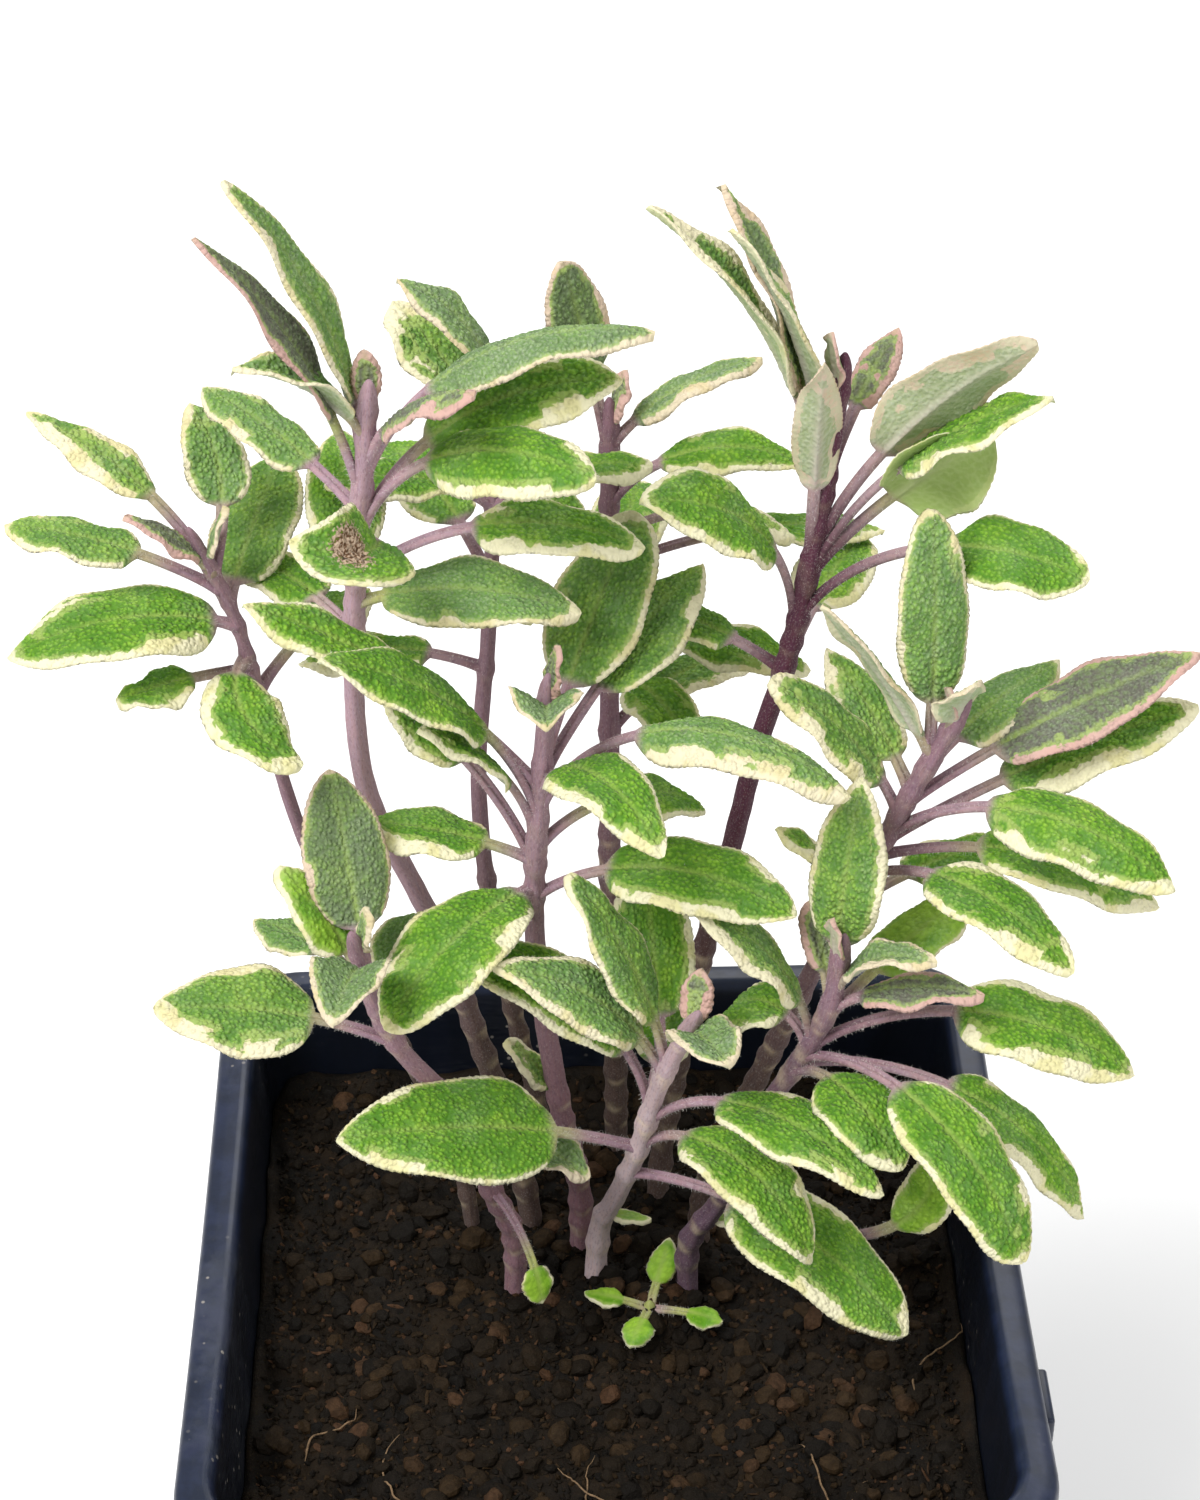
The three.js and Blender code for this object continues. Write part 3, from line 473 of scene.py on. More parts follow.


# the plant: the same stems and leaves as the solids, made fine. A stem has its route in mm, how purple
# it is towards its top, and the colour of its foot, which on the dark bark feet further back is partly
# painted shade.
# A leaf has the values that leafNames lists, and leafRest is its roll, cup and sweep where it gives none
leafNames = ("at", "heading", "rise", "arch", "petiole", "blade", "width", "tone", "roll", "cup", "sweep")
leafRest = (0, 8, 0)
shoots = {
    "stem_tall_left": {
        "tint": (0.1, "bark"),
        "route": ((-11, 18), (-13, 18, 106), (-24, 19, 150), (-33, 18, 177), (-34, 16, 197),
            (-33, 14, 213), (-31, 12, 233), (-30, 11, 244)),
        "leaves": (
            (230, 180, 92, 42, 12, 35, 8, "grey", -14, 15), (228, 200, 80, 30, 13, 33, 9, "young", -20, 15),
            (238, 200, 64, 50, 4, 18, 9, "grey", 0, 35), (228, 320, 84, 70, 13, 19, 8, "young", 0, -15),
            (230, 356, 74, 84, 17, 31, 10, "felt", 0, -12), (221, 332, 75, 92, 19, 25, 12, "green", 25, -12),
            (222, 2, 72, 78, 17, 27, 13, "green", 22), (215, 354, 46, 72, 18, 23, 11, "green", 10),
            (211, 350, 25, 45, 4, 27, 12, "grey", 15),
            (222, 316, 22, 0, 4.5, 19, 13.5, "burnt", -40, 22, -150), (226, 140, 32, 30, 9, 20, 9, "grey"),
            (208, 95, 45, 50, 9, 24, 11, "green"), (206, 128, 15, 40, 8, 20, 10, "green"),
            (242, 90, 80, 0, 1, 7, 4, "young"),
        ),
    },
    "stem_tall_right": {
        "tint": (1.0, "bark"),
        "route": ((8, 23), (9, 23, 106), (14, 24, 140), (18, 24, 161), (21, 22, 180), (25, 20, 199),
            (28, 19, 220), (30, 18, 243)),
        "leaves": (
            (219, 180, 90, 52, 20, 34, 9, "pale", 0, 25), (219, 160, 87, 27, 19, 31, 9, "rosy", 0, 20),
            (224, 190, 90, 37, 14, 29, 8, "grey", 0, 20), (212, 270, 84, 10, 14, 22, 8, "rosy", 0, 35),
            (227, 60, 44, 30, 10, 14, 6, "young"), (214, 350, 72, 40, 19, 26, 12, "rosy", -70, 15),
            (210, 345, 72, 50, 23, 23, 12, "green"), (211, 352, 58, 25, 17, 16, 14, "lime", -80, -15),
            (204, 340, 63, 86, 26, 19, 13, "green", 15), (200, 206, 95, 88, 16, 25, 14, "green", -25),
            (196, 65, 25, 40, 10, 22, 11, "green"), (195, 150, 25, 40, 8, 20, 10, "green"),
            (240, 200, 80, 0, 1, 8, 5, "young"),
        ),
    },
    "stem_middle": {
        "tint": (0.35, "rose"),
        "route": ((-4, 12), (-4, 12, 106), (-7, 9, 127), (-10, 8, 156), (-10, 6, 172), (-9, 5, 188),
            (-8, 5, 203)),
        "leaves": (
            (191, 62, 50, 20, 11, 26, 14, "dull"), (189, 48, 42, 30, 14, 24, 13, "dull"),
            (200, 270, 45, 40, 2, 12, 12, "felt", 0, 35), (182, 342, 75, 118, 22, 31, 11, "grey", 0, -10),
            (181, 305, 90, 135, 13, 25, 12, "green"), (187, 179, 56, 36, 27, 22, 10, "green", -10),
            (182, 203, 76, 54, 18, 29, 12, "green", -15), (178, 205, 80, 50, 12, 18, 9, "green"),
            (173, 172, 72, 35, 20, 16, 9, "green", -30), (174, 166, 20, 30, 7, 18, 11, "green"),
            (167, 339, 48, 75, 13, 28, 13, "green", 15), (169, 228, 18, 60, 3, 29, 15, "green"),
            (176, 20, 50, 100, 10, 18, 10, "green"), (128, 165, 60, 20, 2, 10, 6, "dull"),
            (201, 20, 80, 0, 1, 8, 5, "young"),
        ),
    },
    "stem_right": {
        "tint": (0.6, "bark"),
        "route": ((14, 13), (15, 13, 106), (23, 10, 133), (33, 6, 165), (40, 3, 186), (46, 2, 201)),
        "leaves": (
            (193, 172, 66, 20, 4, 24, 7, "felt", 40), (192, 100, 92, 22, 10, 27, 10, "grey"),
            (198, 300, 75, 20, 2, 9, 8, "felt", 0, 20), (191, 38, 32, 35, 6, 20, 10, "grey"),
            (185, 6, 38, 18, 14, 30, 12, "young", 15), (178, 6, 33, 18, 18, 28, 12, "green", 10),
            (179, 333, 52, 92, 17, 28, 12, "green", 15, -8), (175, 352, 22, 60, 14, 27, 13, "green"),
            (183, 172, 70, 42, 6, 22, 10, "dull", -15), (187, 125, 50, 30, 5, 18, 9, "dull"),
            (171, 316, 44, 80, 13, 25, 12, "green"), (168, 180, 60, 30, 3, 13, 6, "green"),
            (165, 30, 15, 30, 10, 18, 10, "green"), (199, 200, 80, 0, 1, 5, 4, "young"),
        ),
    },
    "stem_right_front": {
        "tint": (0.55, "violet"),
        "route": ((12, 2), (12, 1, 106), (16, -2, 117), (21, -4, 135), (27, -6, 149), (30, -8, 160),
            (31, -8, 169)),
        "leaves": (
            (160, 110, 60, 15, 4, 10, 5, "young"), (160, 330, 80, 80, 6, 15, 8, "felt", 0, 20),
            (158, 338, 48, 50, 6, 18, 8, "young"), (150, 349, 46, 88, 22, 27, 14, "green", 12),
            (151, 175, 84, 60, 8, 22, 11, "pale"), (148, 311, 40, 105, 19, 30, 13.5, "green"),
            (144.6, 302, 50, 95, 10, 18, 12, "green"), (147, 344, 20, 92, 21, 30, 12, "green"),
            (146, 150, 128, 222, 10, 13, 12, "green"), (119, 338, -36, -136, 28, 18, 8, "lime", 75),
            (159, 62, 84, 12, 10, 25, 11, "dull"), (156, 36, 30, 20, 10, 18, 10, "olive"),
            (112, 0, 0, 0, 1, 5, 3, "lime"), (167, 200, 80, 0, 1, 7, 5, "young"),
        ),
    },
    "stem_front": {
        "tint": (0.35, "grey"),
        "route": ((-2, 5), (-1, 5, 106), (1, 2, 114), (4, -3, 128), (7, -8, 146), (11, -12, 160)),
        "leaves": (
            (147, 184, 74, 62, 8, 25, 11, "grey", -20), (149, 152, 80, 35, 8, 25, 10, "dull"),
            (156, 292, 55, 60, 2, 14, 10, "felt", 0, 25), (129, 197, 33, 30, 14, 32.5, 17, "green", -22),
            (128, 318, 64, 135, 12, 28, 12, "green"), (122, 329, 22, 70, 17, 32, 17.5, "green"),
            (135, 322, 60, 95, 17, 28, 12, "green"), (138, 170, 85, 88, 12, 32, 12, "green", -12),
            (147, 95, 55, 30, 8, 22, 12, "green"), (136, 75, 45, 40, 8, 18, 10, "green"),
            (109, 345, 0, 0, 1, 6, 3, "lime"), (158, 60, 65, 0, 1, 8, 5, "young"),
        ),
    },
    "stem_left_front": {
        "tint": (0.45, "rose"),
        "route": ((-14, 4), (-14, 3, 106), (-17, 1, 117), (-22, -2, 136), (-30, -5, 152), (-34, -8, 171)),
        "leaves": (
            (164, 106, 60, 15, 7, 22, 12, "mauve"), (163, 135, 12, 35, 9, 15, 8, "grey"),
            (160, 150, 66, 30, 8, 15, 9, "lime"), (164, 260, 62, 75, 6, 17, 12, "felt", 0, 30),
            (151, 184, 32, 35, 12, 22, 14.5, "dull", -20), (140, 300, -5, 40, 2, 10, 8, "lime"),
            (122, 330, 78, 120, 12, 10, 8, "felt", 0, 25), (117, 300, 10, 95, 14, 6, 5, "sprout"),
            (158, 68, 50, 70, 5, 13, 9, "grey"), (155, 40, 40, 80, 4, 11, 8, "dull"),
            (169, 20, 80, 0, 1, 7, 5, "felt"),
        ),
    },
    "stem_far_left": {
        "tint": (0.5, "bark"), "girth": 0.7,
        "route": ((-20, 16), (-22, 17, 106), (-34, 20, 140), (-43, 22, 167), (-46, 22, 182),
            (-48, 21, 195), (-50, 21, 205), (-54, 20, 217)),
        "leaves": (
            (213, 150, 54, 50, 12, 21, 8, "dull"), (209, 166, 26, 30, 12, 19, 10, "dull"),
            (203, 192, 26, 54, 3, 29, 15.5, "green", -8), (207, 76, 24, 15, 3, 24, 12, "dull"),
            (212, 62, 52, 15, 9, 15, 9, "grey", 0, 8, 75), (212, 200, 60, 30, 3, 13, 7, "young"),
            (196, 200, 8, 20, 8, 11, 9, "green"), (198, 244, 0, 30, 4, 19, 11, "green", 0, 8, 104),
            (192, 60, 20, 40, 9, 20, 11, "green"), (214, 0, 70, 0, 1, 8, 5, "felt"),
        ),
    },
    "stem_back_left": {
        "tint": (0.5, "bark"), "girth": 0.8,
        "route": ((-9, 29), (-10, 29, 106), (-16, 31, 140), (-18, 33, 166), (-16, 35, 193),
            (-15, 36, 214), (-15, 37, 230)),
        "leaves": (
            (226, 165, 100, 88, 6, 19, 9, "felt"), (222, 135, 54, 35, 8, 16, 11, "dull"),
            (212, 200, 45, 50, 8, 18, 10, "green"), (212, 340, 50, 50, 8, 18, 10, "green"),
            (200, 120, 40, 60, 10, 24, 12, "green"), (198, 290, 60, 80, 6, 14, 9, "green"),
            (186, 170, 20, 50, 8, 20, 10, "green"), (227, 20, 75, 0, 1, 8, 5, "young"),
        ),
    },
    "stem_back_middle": {
        "tint": (0.7, "bark"),
        "route": ((2, 33), (2, 33, 106), (1, 35, 150), (1, 38, 170), (1, 40, 186), (1, 42, 204),
            (1, 43, 222)),
        "leaves": (
            (217, 12, 52, 50, 5, 20, 7, "felt"), (208, 355, 60, 92, 10, 22, 9, "green", 10),
            (202, 345, 50, 80, 10, 19, 9, "green"), (216, 170, 80, 5, 12, 18, 9.5, "mauve", -50),
            (198, 5, 25, 40, 16, 24, 9, "green"), (200, 150, 50, 60, 6, 16, 9, "green"),
            (190, 80, 35, 60, 10, 24, 12, "green"), (186, 345, 25, 50, 10, 20, 11, "green"),
            (180, 300, 45, 90, 8, 18, 10, "green"), (172, 30, 40, 60, 9, 18, 10, "dull"),
            (220, 20, 75, 0, 1, 8, 5, "young"),
        ),
    },
    "sprout": {
        "tint": (0.0, "lime"), "radii": (0.8, 0.64), "bud": 0.8,
        "route": ((6, -3), (6, -3, 97)),
        "leaves": (
            (96, 170, 25, 30, 4, 6, 4, "sprout"), (96, 250, 20, 30, 3, 6, 5, "sprout"),
            (96, 68, 45, 20, 4, 7, 4.5, "sprout"), (96, 340, 20, 30, 6, 5.5, 4.5, "sprout"),
        ),
    },
}

leafForm = {
    "steps": 96,            # steps of a leaf's middle line
    "grain": 0.36,          # spacing of a blade's corners
    "shortBlade": 9,        # a shorter blade is finer and plainer, with a thinner stalk
    "shortGrain": 0.8,
    "shortStalk": 0.75,
    "shortRelief": 0.15,
    "slimBlade": 9,         # a slimmer blade has less wave and curl
    "baseFullness": 0.44,   # less is fuller towards the base
    "tipFullness": (0.5, 0.78),     # more is more pointed
    "stalkGrain": 0.7,
    "stalkHalf": 0.85,
    "stalkThick": 0.65,
    "stalkFlare": 0.5,      # how much wider a stalk is where it joins the stem
    "flareLength": 1.6,
    "stalkEnd": 0.07,       # the share of a blade on which its stalk fades out
    "channel": 0.35,        # depth of the groove along a stalk
    "channelWidth": 0.3,
    "bladeThick": 0.3,      # half the blade's thickness
    "cell": 1.05,           # size of the raised cells
    "cellSlant": 0.3,
    "cellFade": 1.6,        # how far in from the edge they begin to sink
    "relief": 0.28,
    "underRelief": 0.3,     # the share of the relief that shows beneath
    "veinGap": 3.1,
    "veinWidth": 0.28,
    "veinSlant": 0.7,
    "veinShift": 0.35,      # how far the veins of the two sides are out of step
    "veinDepth": 0.2,
    "midribWidth": 0.42,
    "midribDepth": 0.3,
    "midribRidge": 0.5,
    "ridgeWidth": 0.45,
    "backRibWidth": 0.85,
    "scallop": 1.0,
    "scallopDepth": 0.2,
    "edgeCurl": 0.45,
    "dome": 0.075,          # how far a flat blade's sides hang, as a share of its width
    "wave": 0.55,
    "slowWave": (7, 11),
    "quickWave": (15, 20),
    "burnAt": 0.56,         # where a burnt patch lies, as a share of the blade
    "burnSize": 13,
}
stemForm = {
    "radii": (1.65, 1.15),  # at its foot and at its top
    "footHeight": 78,
    "bendHeight": 89,       # under the compost's top, so that a stem leaves it already leaning
    "sides": 22,
    "grain": 0.9,
    "corner": 0.07,         # how square the stem is
    "bark": 0.05,
    "joint": 0.3,           # swelling where leaves leave
    "jointLength": 1.1,
    "oldFrom": 96,          # the scars under the lowest leaf, and their spacing
    "oldJoint": (2.8, 6.5),
    "scarDrop": 1.2,        # how far a scar lies under its joint
    "scarWidth": 0.45,
    "scarMost": 0.42,
    "scarFade": (135, 175),
    "scarTint": (0.72, 0.62, 0.42),
    "tintFade": (122, 178), # between these heights the foot's colour gives way to the top's
    "budLength": 3.0,
    "budShape": ((0.35, 0.85), (0.7, 0.55), (0.9, 0.25)),   # places along the bud, and widths there
}
# how each kind of leaf looks: young is purple-grey, felt is white down, cream is the margin's width
toneNames = ("young", "felt", "cream", "warm", "smooth")
tones = {
    "green": (0.0, 0.15, 1.12, 0.1, 0.0),
    "grey": (0.15, 0.65, 1.1, 0.0, 0.0),
    "felt": (0.35, 0.9, 1.0, 0.0, 0.0),
    "rosy": (0.55, 0.7, 1.5, 0.0, 0.0),
    "young": (1.0, 0.55, 1.0, 0.0, 0.0),
    "mauve": (0.6, 0.5, 1.0, 0.2, 0.0),
    "pale": (0.1, 0.5, 1.73, 0.3, 0.0),
    "dull": (0.1, 0.4, 1.05, 0.3, 0.0),
    "olive": (0.1, 0.1, 0.5, 1.0, 0.8),
    "lime": (0.0, 0.1, 0.72, 0.9, 0.6),
    "burnt": (0.0, 0.2, 1.15, 0.1, 0.0),
    "sprout": (0.0, 0.0, 0.25, 0.7, 1.0),
}
# bark, the darkest foot colour, is partly the stems' woody colour and partly painted shade low in the pot
stalkColours = {
    "mauve": (0.39, 0.27, 0.33), "purple": (0.085, 0.028, 0.052), "lime": (0.32, 0.37, 0.12),
    "haze": (0.36, 0.26, 0.29), "grey": (0.50, 0.41, 0.44), "violet": (0.12, 0.075, 0.11),
    "rose": (0.24, 0.14, 0.17), "bark": (0.10, 0.07, 0.062),
}


def stemLine(route):
    # a smooth line through the route's points, the same as the solid's
    foot = route[0]
    points = [(*foot, stemForm["footHeight"]), (*foot, stemForm["bendHeight"]), *route[1:]]
    points = [np.array(point, float) for point in points]
    ends = [2 * points[0] - points[1], *points, 2 * points[-1] - points[-2]]
    line = []
    for before, start, end, after in zip(ends, ends[1:], ends[2:], ends[3:]):
        gaps = [math.sqrt(np.linalg.norm(b - a)) for a, b in ((before, start), (start, end), (end, after))]
        leave = (start - before) / gaps[0] - (end - before) / (gaps[0] + gaps[1]) + (end - start) / gaps[1]
        reach = (end - start) / gaps[1] - (after - start) / (gaps[1] + gaps[2]) + (after - end) / gaps[2]
        leave, reach = leave * gaps[1], reach * gaps[1]
        for part in np.arange(24) / 24:
            line.append(start + leave * part + (3 * (end - start) - 2 * leave - reach) * part ** 2
                + (2 * (start - end) + leave + reach) * part ** 3)
    return np.array([*line, points[-1]])


def leafFrames(root, leaf, places):
    # the blade's middle line, its left side and its upper side at places along it
    length = leaf["petiole"] + leaf["blade"]
    steps = leafForm["steps"]

    def way(part):
        rise = np.radians(leaf["rise"] - leaf["arch"] * part)
        heading = np.radians(leaf["heading"] + leaf["sweep"] * part)
        ahead = np.stack([np.cos(rise) * np.cos(heading), np.cos(rise) * np.sin(heading), np.sin(rise)], -1)
        return ahead, np.stack([-np.sin(heading), np.cos(heading), heading * 0], -1)

    ahead, _ = way((np.arange(steps) + 0.5) / steps)
    line = np.vstack([root, root + np.cumsum(ahead, 0) * length / steps])
    middle = pointsOn(line, np.arange(steps + 1), places / length * steps)
    ahead, left = way(places / length)
    upper = np.cross(ahead, left)
    roll = math.radians(leaf["roll"])
    turned = left * math.cos(roll) + upper * math.sin(roll)
    return middle, turned, upper * math.cos(roll) - left * math.sin(roll)


def makeLeaf(root, leaf, seed):
    # a leaf as rings, what each corner says to the finish, its place on the leaf, and a random pick
    form = leafForm
    draw = np.random.default_rng(seed)
    petiole, blade, width = leaf["petiole"], leaf["blade"], leaf["width"]
    short = blade < form["shortBlade"]
    slim = min(1, width / form["slimBlade"])
    grain = form["grain"] * (form["shortGrain"] if short else 1)
    stalkPlaces = np.arange(0, petiole - 0.2, form["stalkGrain"])
    part = 1 - (1 - np.linspace(0, 1, max(int(blade / grain), 12))) ** 1.2
    part = np.clip(part, 0, 0.998)
    places = np.concatenate([stalkPlaces, petiole + blade * part])
    stalk = np.concatenate([np.ones(len(stalkPlaces)), 1 - softStep(part, 0.0, form["stalkEnd"])])
    part = np.concatenate([stalkPlaces * 0, part])
    middle, left, upper = leafFrames(root, leaf, places)
    places, stalk, part = places[:, None], stalk[:, None], part[:, None]

    # half the leaf's width along it, with a scalloped edge
    low, high = form["baseFullness"], draw.uniform(*form["tipFullness"])
    widest = low / (low + high)
    oval = width / 2 * (part / widest) ** low * ((1 - part) / (1 - widest)) ** high
    flare = 1 + form["stalkFlare"] * np.exp(-places / form["flareLength"])
    stalkHalf = form["stalkHalf"] * flare * (form["shortStalk"] if short else 1)
    half = np.maximum(oval, stalkHalf * softStep(0.2 - part, 0, 0.2))
    along = places - petiole
    half = half + (np.abs(np.sin(math.pi * along / form["scallop"] + seed)) - 0.5) * form["scallopDepth"] \
        * (1 - stalk) * np.minimum(1, half / 2)
    half = np.maximum(half, 0.12)

    # each ring runs over the top and back beneath: round on the stalk, flat on the blade
    topCount = int(np.clip(width / grain, 10, 40))
    angle = math.pi * np.arange(2 * topCount) / topCount
    overTop = 1 - 2 * np.arange(topCount) / topCount
    onTop = np.repeat((1, -1), topCount)
    onTop[0] = onTop[topCount] = 0
    side = blend(np.concatenate([overTop, -overTop]), np.cos(angle), stalk)
    x = half * side
    reach = np.abs(x)
    along = along + x * 0

    # the blade's face: midrib groove, slanted side veins, raised cells
    veinPlace = (along - reach * form["veinSlant"]) / form["veinGap"] + form["veinShift"] * (x > 0)
    veinAway = np.abs(veinPlace - np.round(veinPlace)) * form["veinGap"]
    cells = cellHeight(along - reach * form["cellSlant"] + 300, x + 60, form["cell"], seed)
    fade = np.minimum(1, (half - reach) / form["cellFade"])
    vein = hump(veinAway, form["veinWidth"]) * np.clip(1.2 - np.abs(side), 0, 1)
    midrib = hump(x, form["midribWidth"]) * np.clip(1.15 - part, 0, 1)
    backRib = hump(x, form["backRibWidth"]) * np.clip(1.15 - part, 0, 1)
    ridge = form["midribRidge"] * hump(x, form["ridgeWidth"]) * np.clip(1.1 - part, 0, 1)
    relief = form["relief"] * cells * fade - form["veinDepth"] * vein - form["midribDepth"] * midrib
    relief = relief * (form["shortRelief"] if short else 1)

    # how the blade is cupped, waved and curled
    cup = math.radians(leaf["cup"])
    fold = np.sqrt(reach ** 2 + 0.5) - math.sqrt(0.5)
    slow = np.sin(along / blade * draw.uniform(*form["slowWave"]) + draw.uniform(0, 6) + (x > 0) * 2.4)
    quick = np.sin(along / blade * draw.uniform(*form["quickWave"]) + draw.uniform(0, 6))
    wave = form["wave"] * (slow + 0.6 * quick) * side ** 2 * slim
    curl = -form["edgeCurl"] * slim * side ** 4
    curl = curl - form["dome"] * np.clip((18 - leaf["cup"]) / 10, 0, 1) * half * 2 * side ** 2
    thick = form["bladeThick"] * np.sqrt(np.clip(1 - np.abs(side) ** 5, 0, 1))
    under = -thick + relief * form["underRelief"] - ridge
    flat = np.where(onTop > 0, thick + relief, np.where(onTop < 0, under, 0))
    flat = flat + fold * math.sin(cup) + wave + curl
    stalkThick = form["stalkThick"] * flare * (form["shortStalk"] if short else 1)
    rounded = stalkThick * np.sin(angle) - form["channel"] * hump(x, form["channelWidth"]) * (onTop > 0)
    x = x * (stalk + (1 - stalk) * math.cos(cup))
    rings = sweepRings(middle, left, upper, x, blend(flat, rounded, stalk))

    edge = np.minimum(half - reach, (1 - part) * blade * 0.6 + 0.1) + 6 * stalk
    columns = {
        "edge": edge, "pebble": cells * fade * (1 - vein),
        "rib": np.where(onTop < 0, backRib, midrib) * (1 - stalk), "under": onTop < 0, "stalk": stalk,
        "fuzz": blend(0.05 + 0.2 * leaf["felt"] + 0.7 * np.exp(-edge / 0.4), 1.0, stalk),
        "hair": blend(0.4 + 0.2 * np.exp(-edge / 0.5), 0.72, stalk),
        "young": leaf["young"], "smooth": leaf["smooth"], "felt": leaf["felt"], "warm": leaf["warm"],
        "cream": leaf["cream"] * draw.uniform(0.7, 1.5), "lobes": draw.uniform(0, 1),
    }
    if leaf["tone"] == "burnt":
        away = (along - blade * form["burnAt"]) ** 2 + (x + 0.6) ** 2
        columns["burn"] = np.exp(-away / form["burnSize"])
    return rings, columns, spotRings(along, x, seed), draw.uniform(0, 1)


def spotRings(along, across, seed):
    # where each corner lies on its own leaf or stem, for the finish's patterns
    return np.stack(np.broadcast_arrays(along, across, seed % 97 * 3.7), -1)


def addRings(store, rings, columns, spot, tint):
    # closes a loft and keeps it for the shoot's mesh
    store["faces"] += ringFaces(*rings.shape[:2], store["count"])
    parts = {"places": closeRings(rings), "spot": closeRings(spot), "tint": closeRings(tint)}
    store["count"] += len(parts["places"])
    for key in leafValues:
        column = np.array(np.broadcast_to(columns.get(key, 0), rings.shape[:2]), float)
        parts[key] = np.append(column, (column[0].mean(), column[-1].mean()))
    for key, column in parts.items():
        store["parts"].setdefault(key, []).append(column)


def stemTint(height, purple, foot):
    upper = blend(stalkColours["mauve"], stalkColours["purple"], purple)
    return blend(stalkColours[foot], upper, softStep(height, *stemForm["tintFade"])[..., None])


def makeStem(store, line, radii, bud, joints, tint, seed):
    form = stemForm
    marks = np.concatenate([[0], np.cumsum(np.linalg.norm(np.diff(line, axis=0), axis=1))])
    length = marks[-1]
    count = int(length / form["grain"])
    budPlaces, budWidths = np.array(form["budShape"]).T
    places = np.concatenate([np.linspace(0, length, count), length + bud * budPlaces])
    inside = np.minimum(places, length)
    centre = pointsOn(line, marks, inside)
    ahead = np.gradient(centre[:count], axis=0)
    ahead = np.vstack([ahead, np.repeat(ahead[-1:], len(places) - count, 0)])
    ahead /= np.linalg.norm(ahead, axis=1)[:, None]
    centre += ahead * (places - inside)[:, None]
    across = np.cross((0, 1, 0), ahead)
    across /= np.linalg.norm(across, axis=1)[:, None]
    away = np.cross(ahead, across)

    # a squarish stem with swollen joints and rough bark
    part, height = inside[:, None] / length, centre[:, 2:]
    swell = np.max([hump(height - joint, form["jointLength"]) for joint in joints], 0)
    radius = radii[0] + (radii[1] - radii[0]) * part + form["joint"] * swell
    radius[count:] *= budWidths[:, None]
    angle = 2 * math.pi * np.arange(form["sides"]) / form["sides"]
    turns = np.stack(np.broadcast_arrays(np.cos(angle), np.sin(angle), height / 9), -1)
    bark = form["bark"] * ripple(turns * 2.2, 0.5, seed) * (1.3 - part)
    radius = radius * (1 + form["corner"] * np.cos(4 * angle) + bark)
    rings = sweepRings(centre, across, away, radius * np.cos(angle), radius * np.sin(angle))

    # pale scars where old leaves were
    scars = np.max([hump(height - joint + form["scarDrop"], form["scarWidth"]) for joint in joints], 0)
    scars = np.clip(scars, 0, form["scarMost"]) * (1 - 0.8 * softStep(height, *form["scarFade"])) \
        * (0.5 + 0.5 * np.cos(angle * 2 + height))
    tints = blend(stemTint(rings[..., 2], *tint), form["scarTint"], scars[..., None])
    columns = {"edge": 6, "pebble": 0.5, "stalk": 1, "felt": 0.3,
        "fuzz": 0.1 + 0.5 * part, "hair": 0.25 + 0.2 * part}
    addRings(store, rings, columns, spotRings(places[:, None], angle * 2, seed), tints)


def makeShoot(name, shoot, order):
    store = {"count": 0, "faces": [], "parts": {}}
    line = stemLine(shoot["route"])
    purple = shoot["tint"][0]
    radii = shoot.get("radii", [radius * shoot.get("girth", 1) for radius in stemForm["radii"]])
    joints = sorted({row[0] for row in shoot["leaves"]})
    old = stemForm["oldFrom"] + np.cumsum(np.random.default_rng(order).uniform(*stemForm["oldJoint"], 12))
    joints += [height for height in old if height < joints[0] - 2]
    makeStem(store, line, radii, shoot.get("bud", stemForm["budLength"]), joints, shoot["tint"], 11 + order)
    for number, row in enumerate(shoot["leaves"]):
        leaf = dict(zip(leafNames, row + leafRest[len(row) - 8:]))
        leaf.update(zip(toneNames, tones[leaf["tone"]]))
        root = pointsOn(line, line[:, 2], leaf["at"])
        rings, columns, spot, pick = makeLeaf(root, leaf, order * 31 + number * 7 + 3)
        along = spot[..., :1]
        tint = stemTint(rings[..., 2] + 60, purple, "rose")
        tint = blend(tint, stalkColours["haze"], purple * softStep(along, -leaf["petiole"] * 0.9, 0))
        limey = max(softStep(pick, 0.35, 0.8) * (1 - purple), leaf["smooth"])
        tint = blend(tint, stalkColours["lime"], limey * softStep(along, -6, 0))
        addRings(store, rings, columns, spot, tint)
    values = {key: np.concatenate(parts) for key, parts in store["parts"].items()}
    places, tint = values.pop("places"), values.pop("tint")
    piece = meshPiece("leafy_" + name.replace("stem_", ""), places, store["faces"], sageFinish, values,
        {"stalkTint": tint})
    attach(piece, "root")
    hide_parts(name)
    return piece


potForm = {
    "height": 110, "rimSide": 120, "baseSide": 90, "thick": 1.4, "floor": 2.2,
    "rimWidth": 5.6, "rimDrop": 9, "rimCorner": 12.5, "baseCorner": 9, "bow": 0.4,
    "drainRadius": 4, "drainSpread": 27, "drainDepth": 8, "drainSides": 40,
    "lug": (1.2, 10, 5), "lugPlace": -32, "lugEdge": 0.6,
    "perSide": 22, "perCorner": 12,
}


def squareRing(side, corner, bow, height):
    # a rounded square whose sides draw in a little at their middles
    half = side / 2
    run = np.arange(potForm["perSide"]) / potForm["perSide"]
    turn = np.arange(potForm["perCorner"]) / potForm["perCorner"] * math.pi / 2
    x = np.concatenate([run * 0 + half, half - corner + corner * np.cos(turn)])
    y = np.concatenate([-half + corner + 2 * (half - corner) * run, half - corner + corner * np.sin(turn)])
    slant = np.minimum(abs(x), abs(y)) / np.maximum(abs(x), abs(y))
    pull = 1 - (bow / half) * (1 - slant ** 2)
    corners = []
    for quarter in range(4):
        angle = quarter * math.pi / 2
        corners.append(np.stack([pull * (x * math.cos(angle) - y * math.sin(angle)),
            pull * (x * math.sin(angle) + y * math.cos(angle)), x * 0 + height], -1))
    return np.vstack(corners)


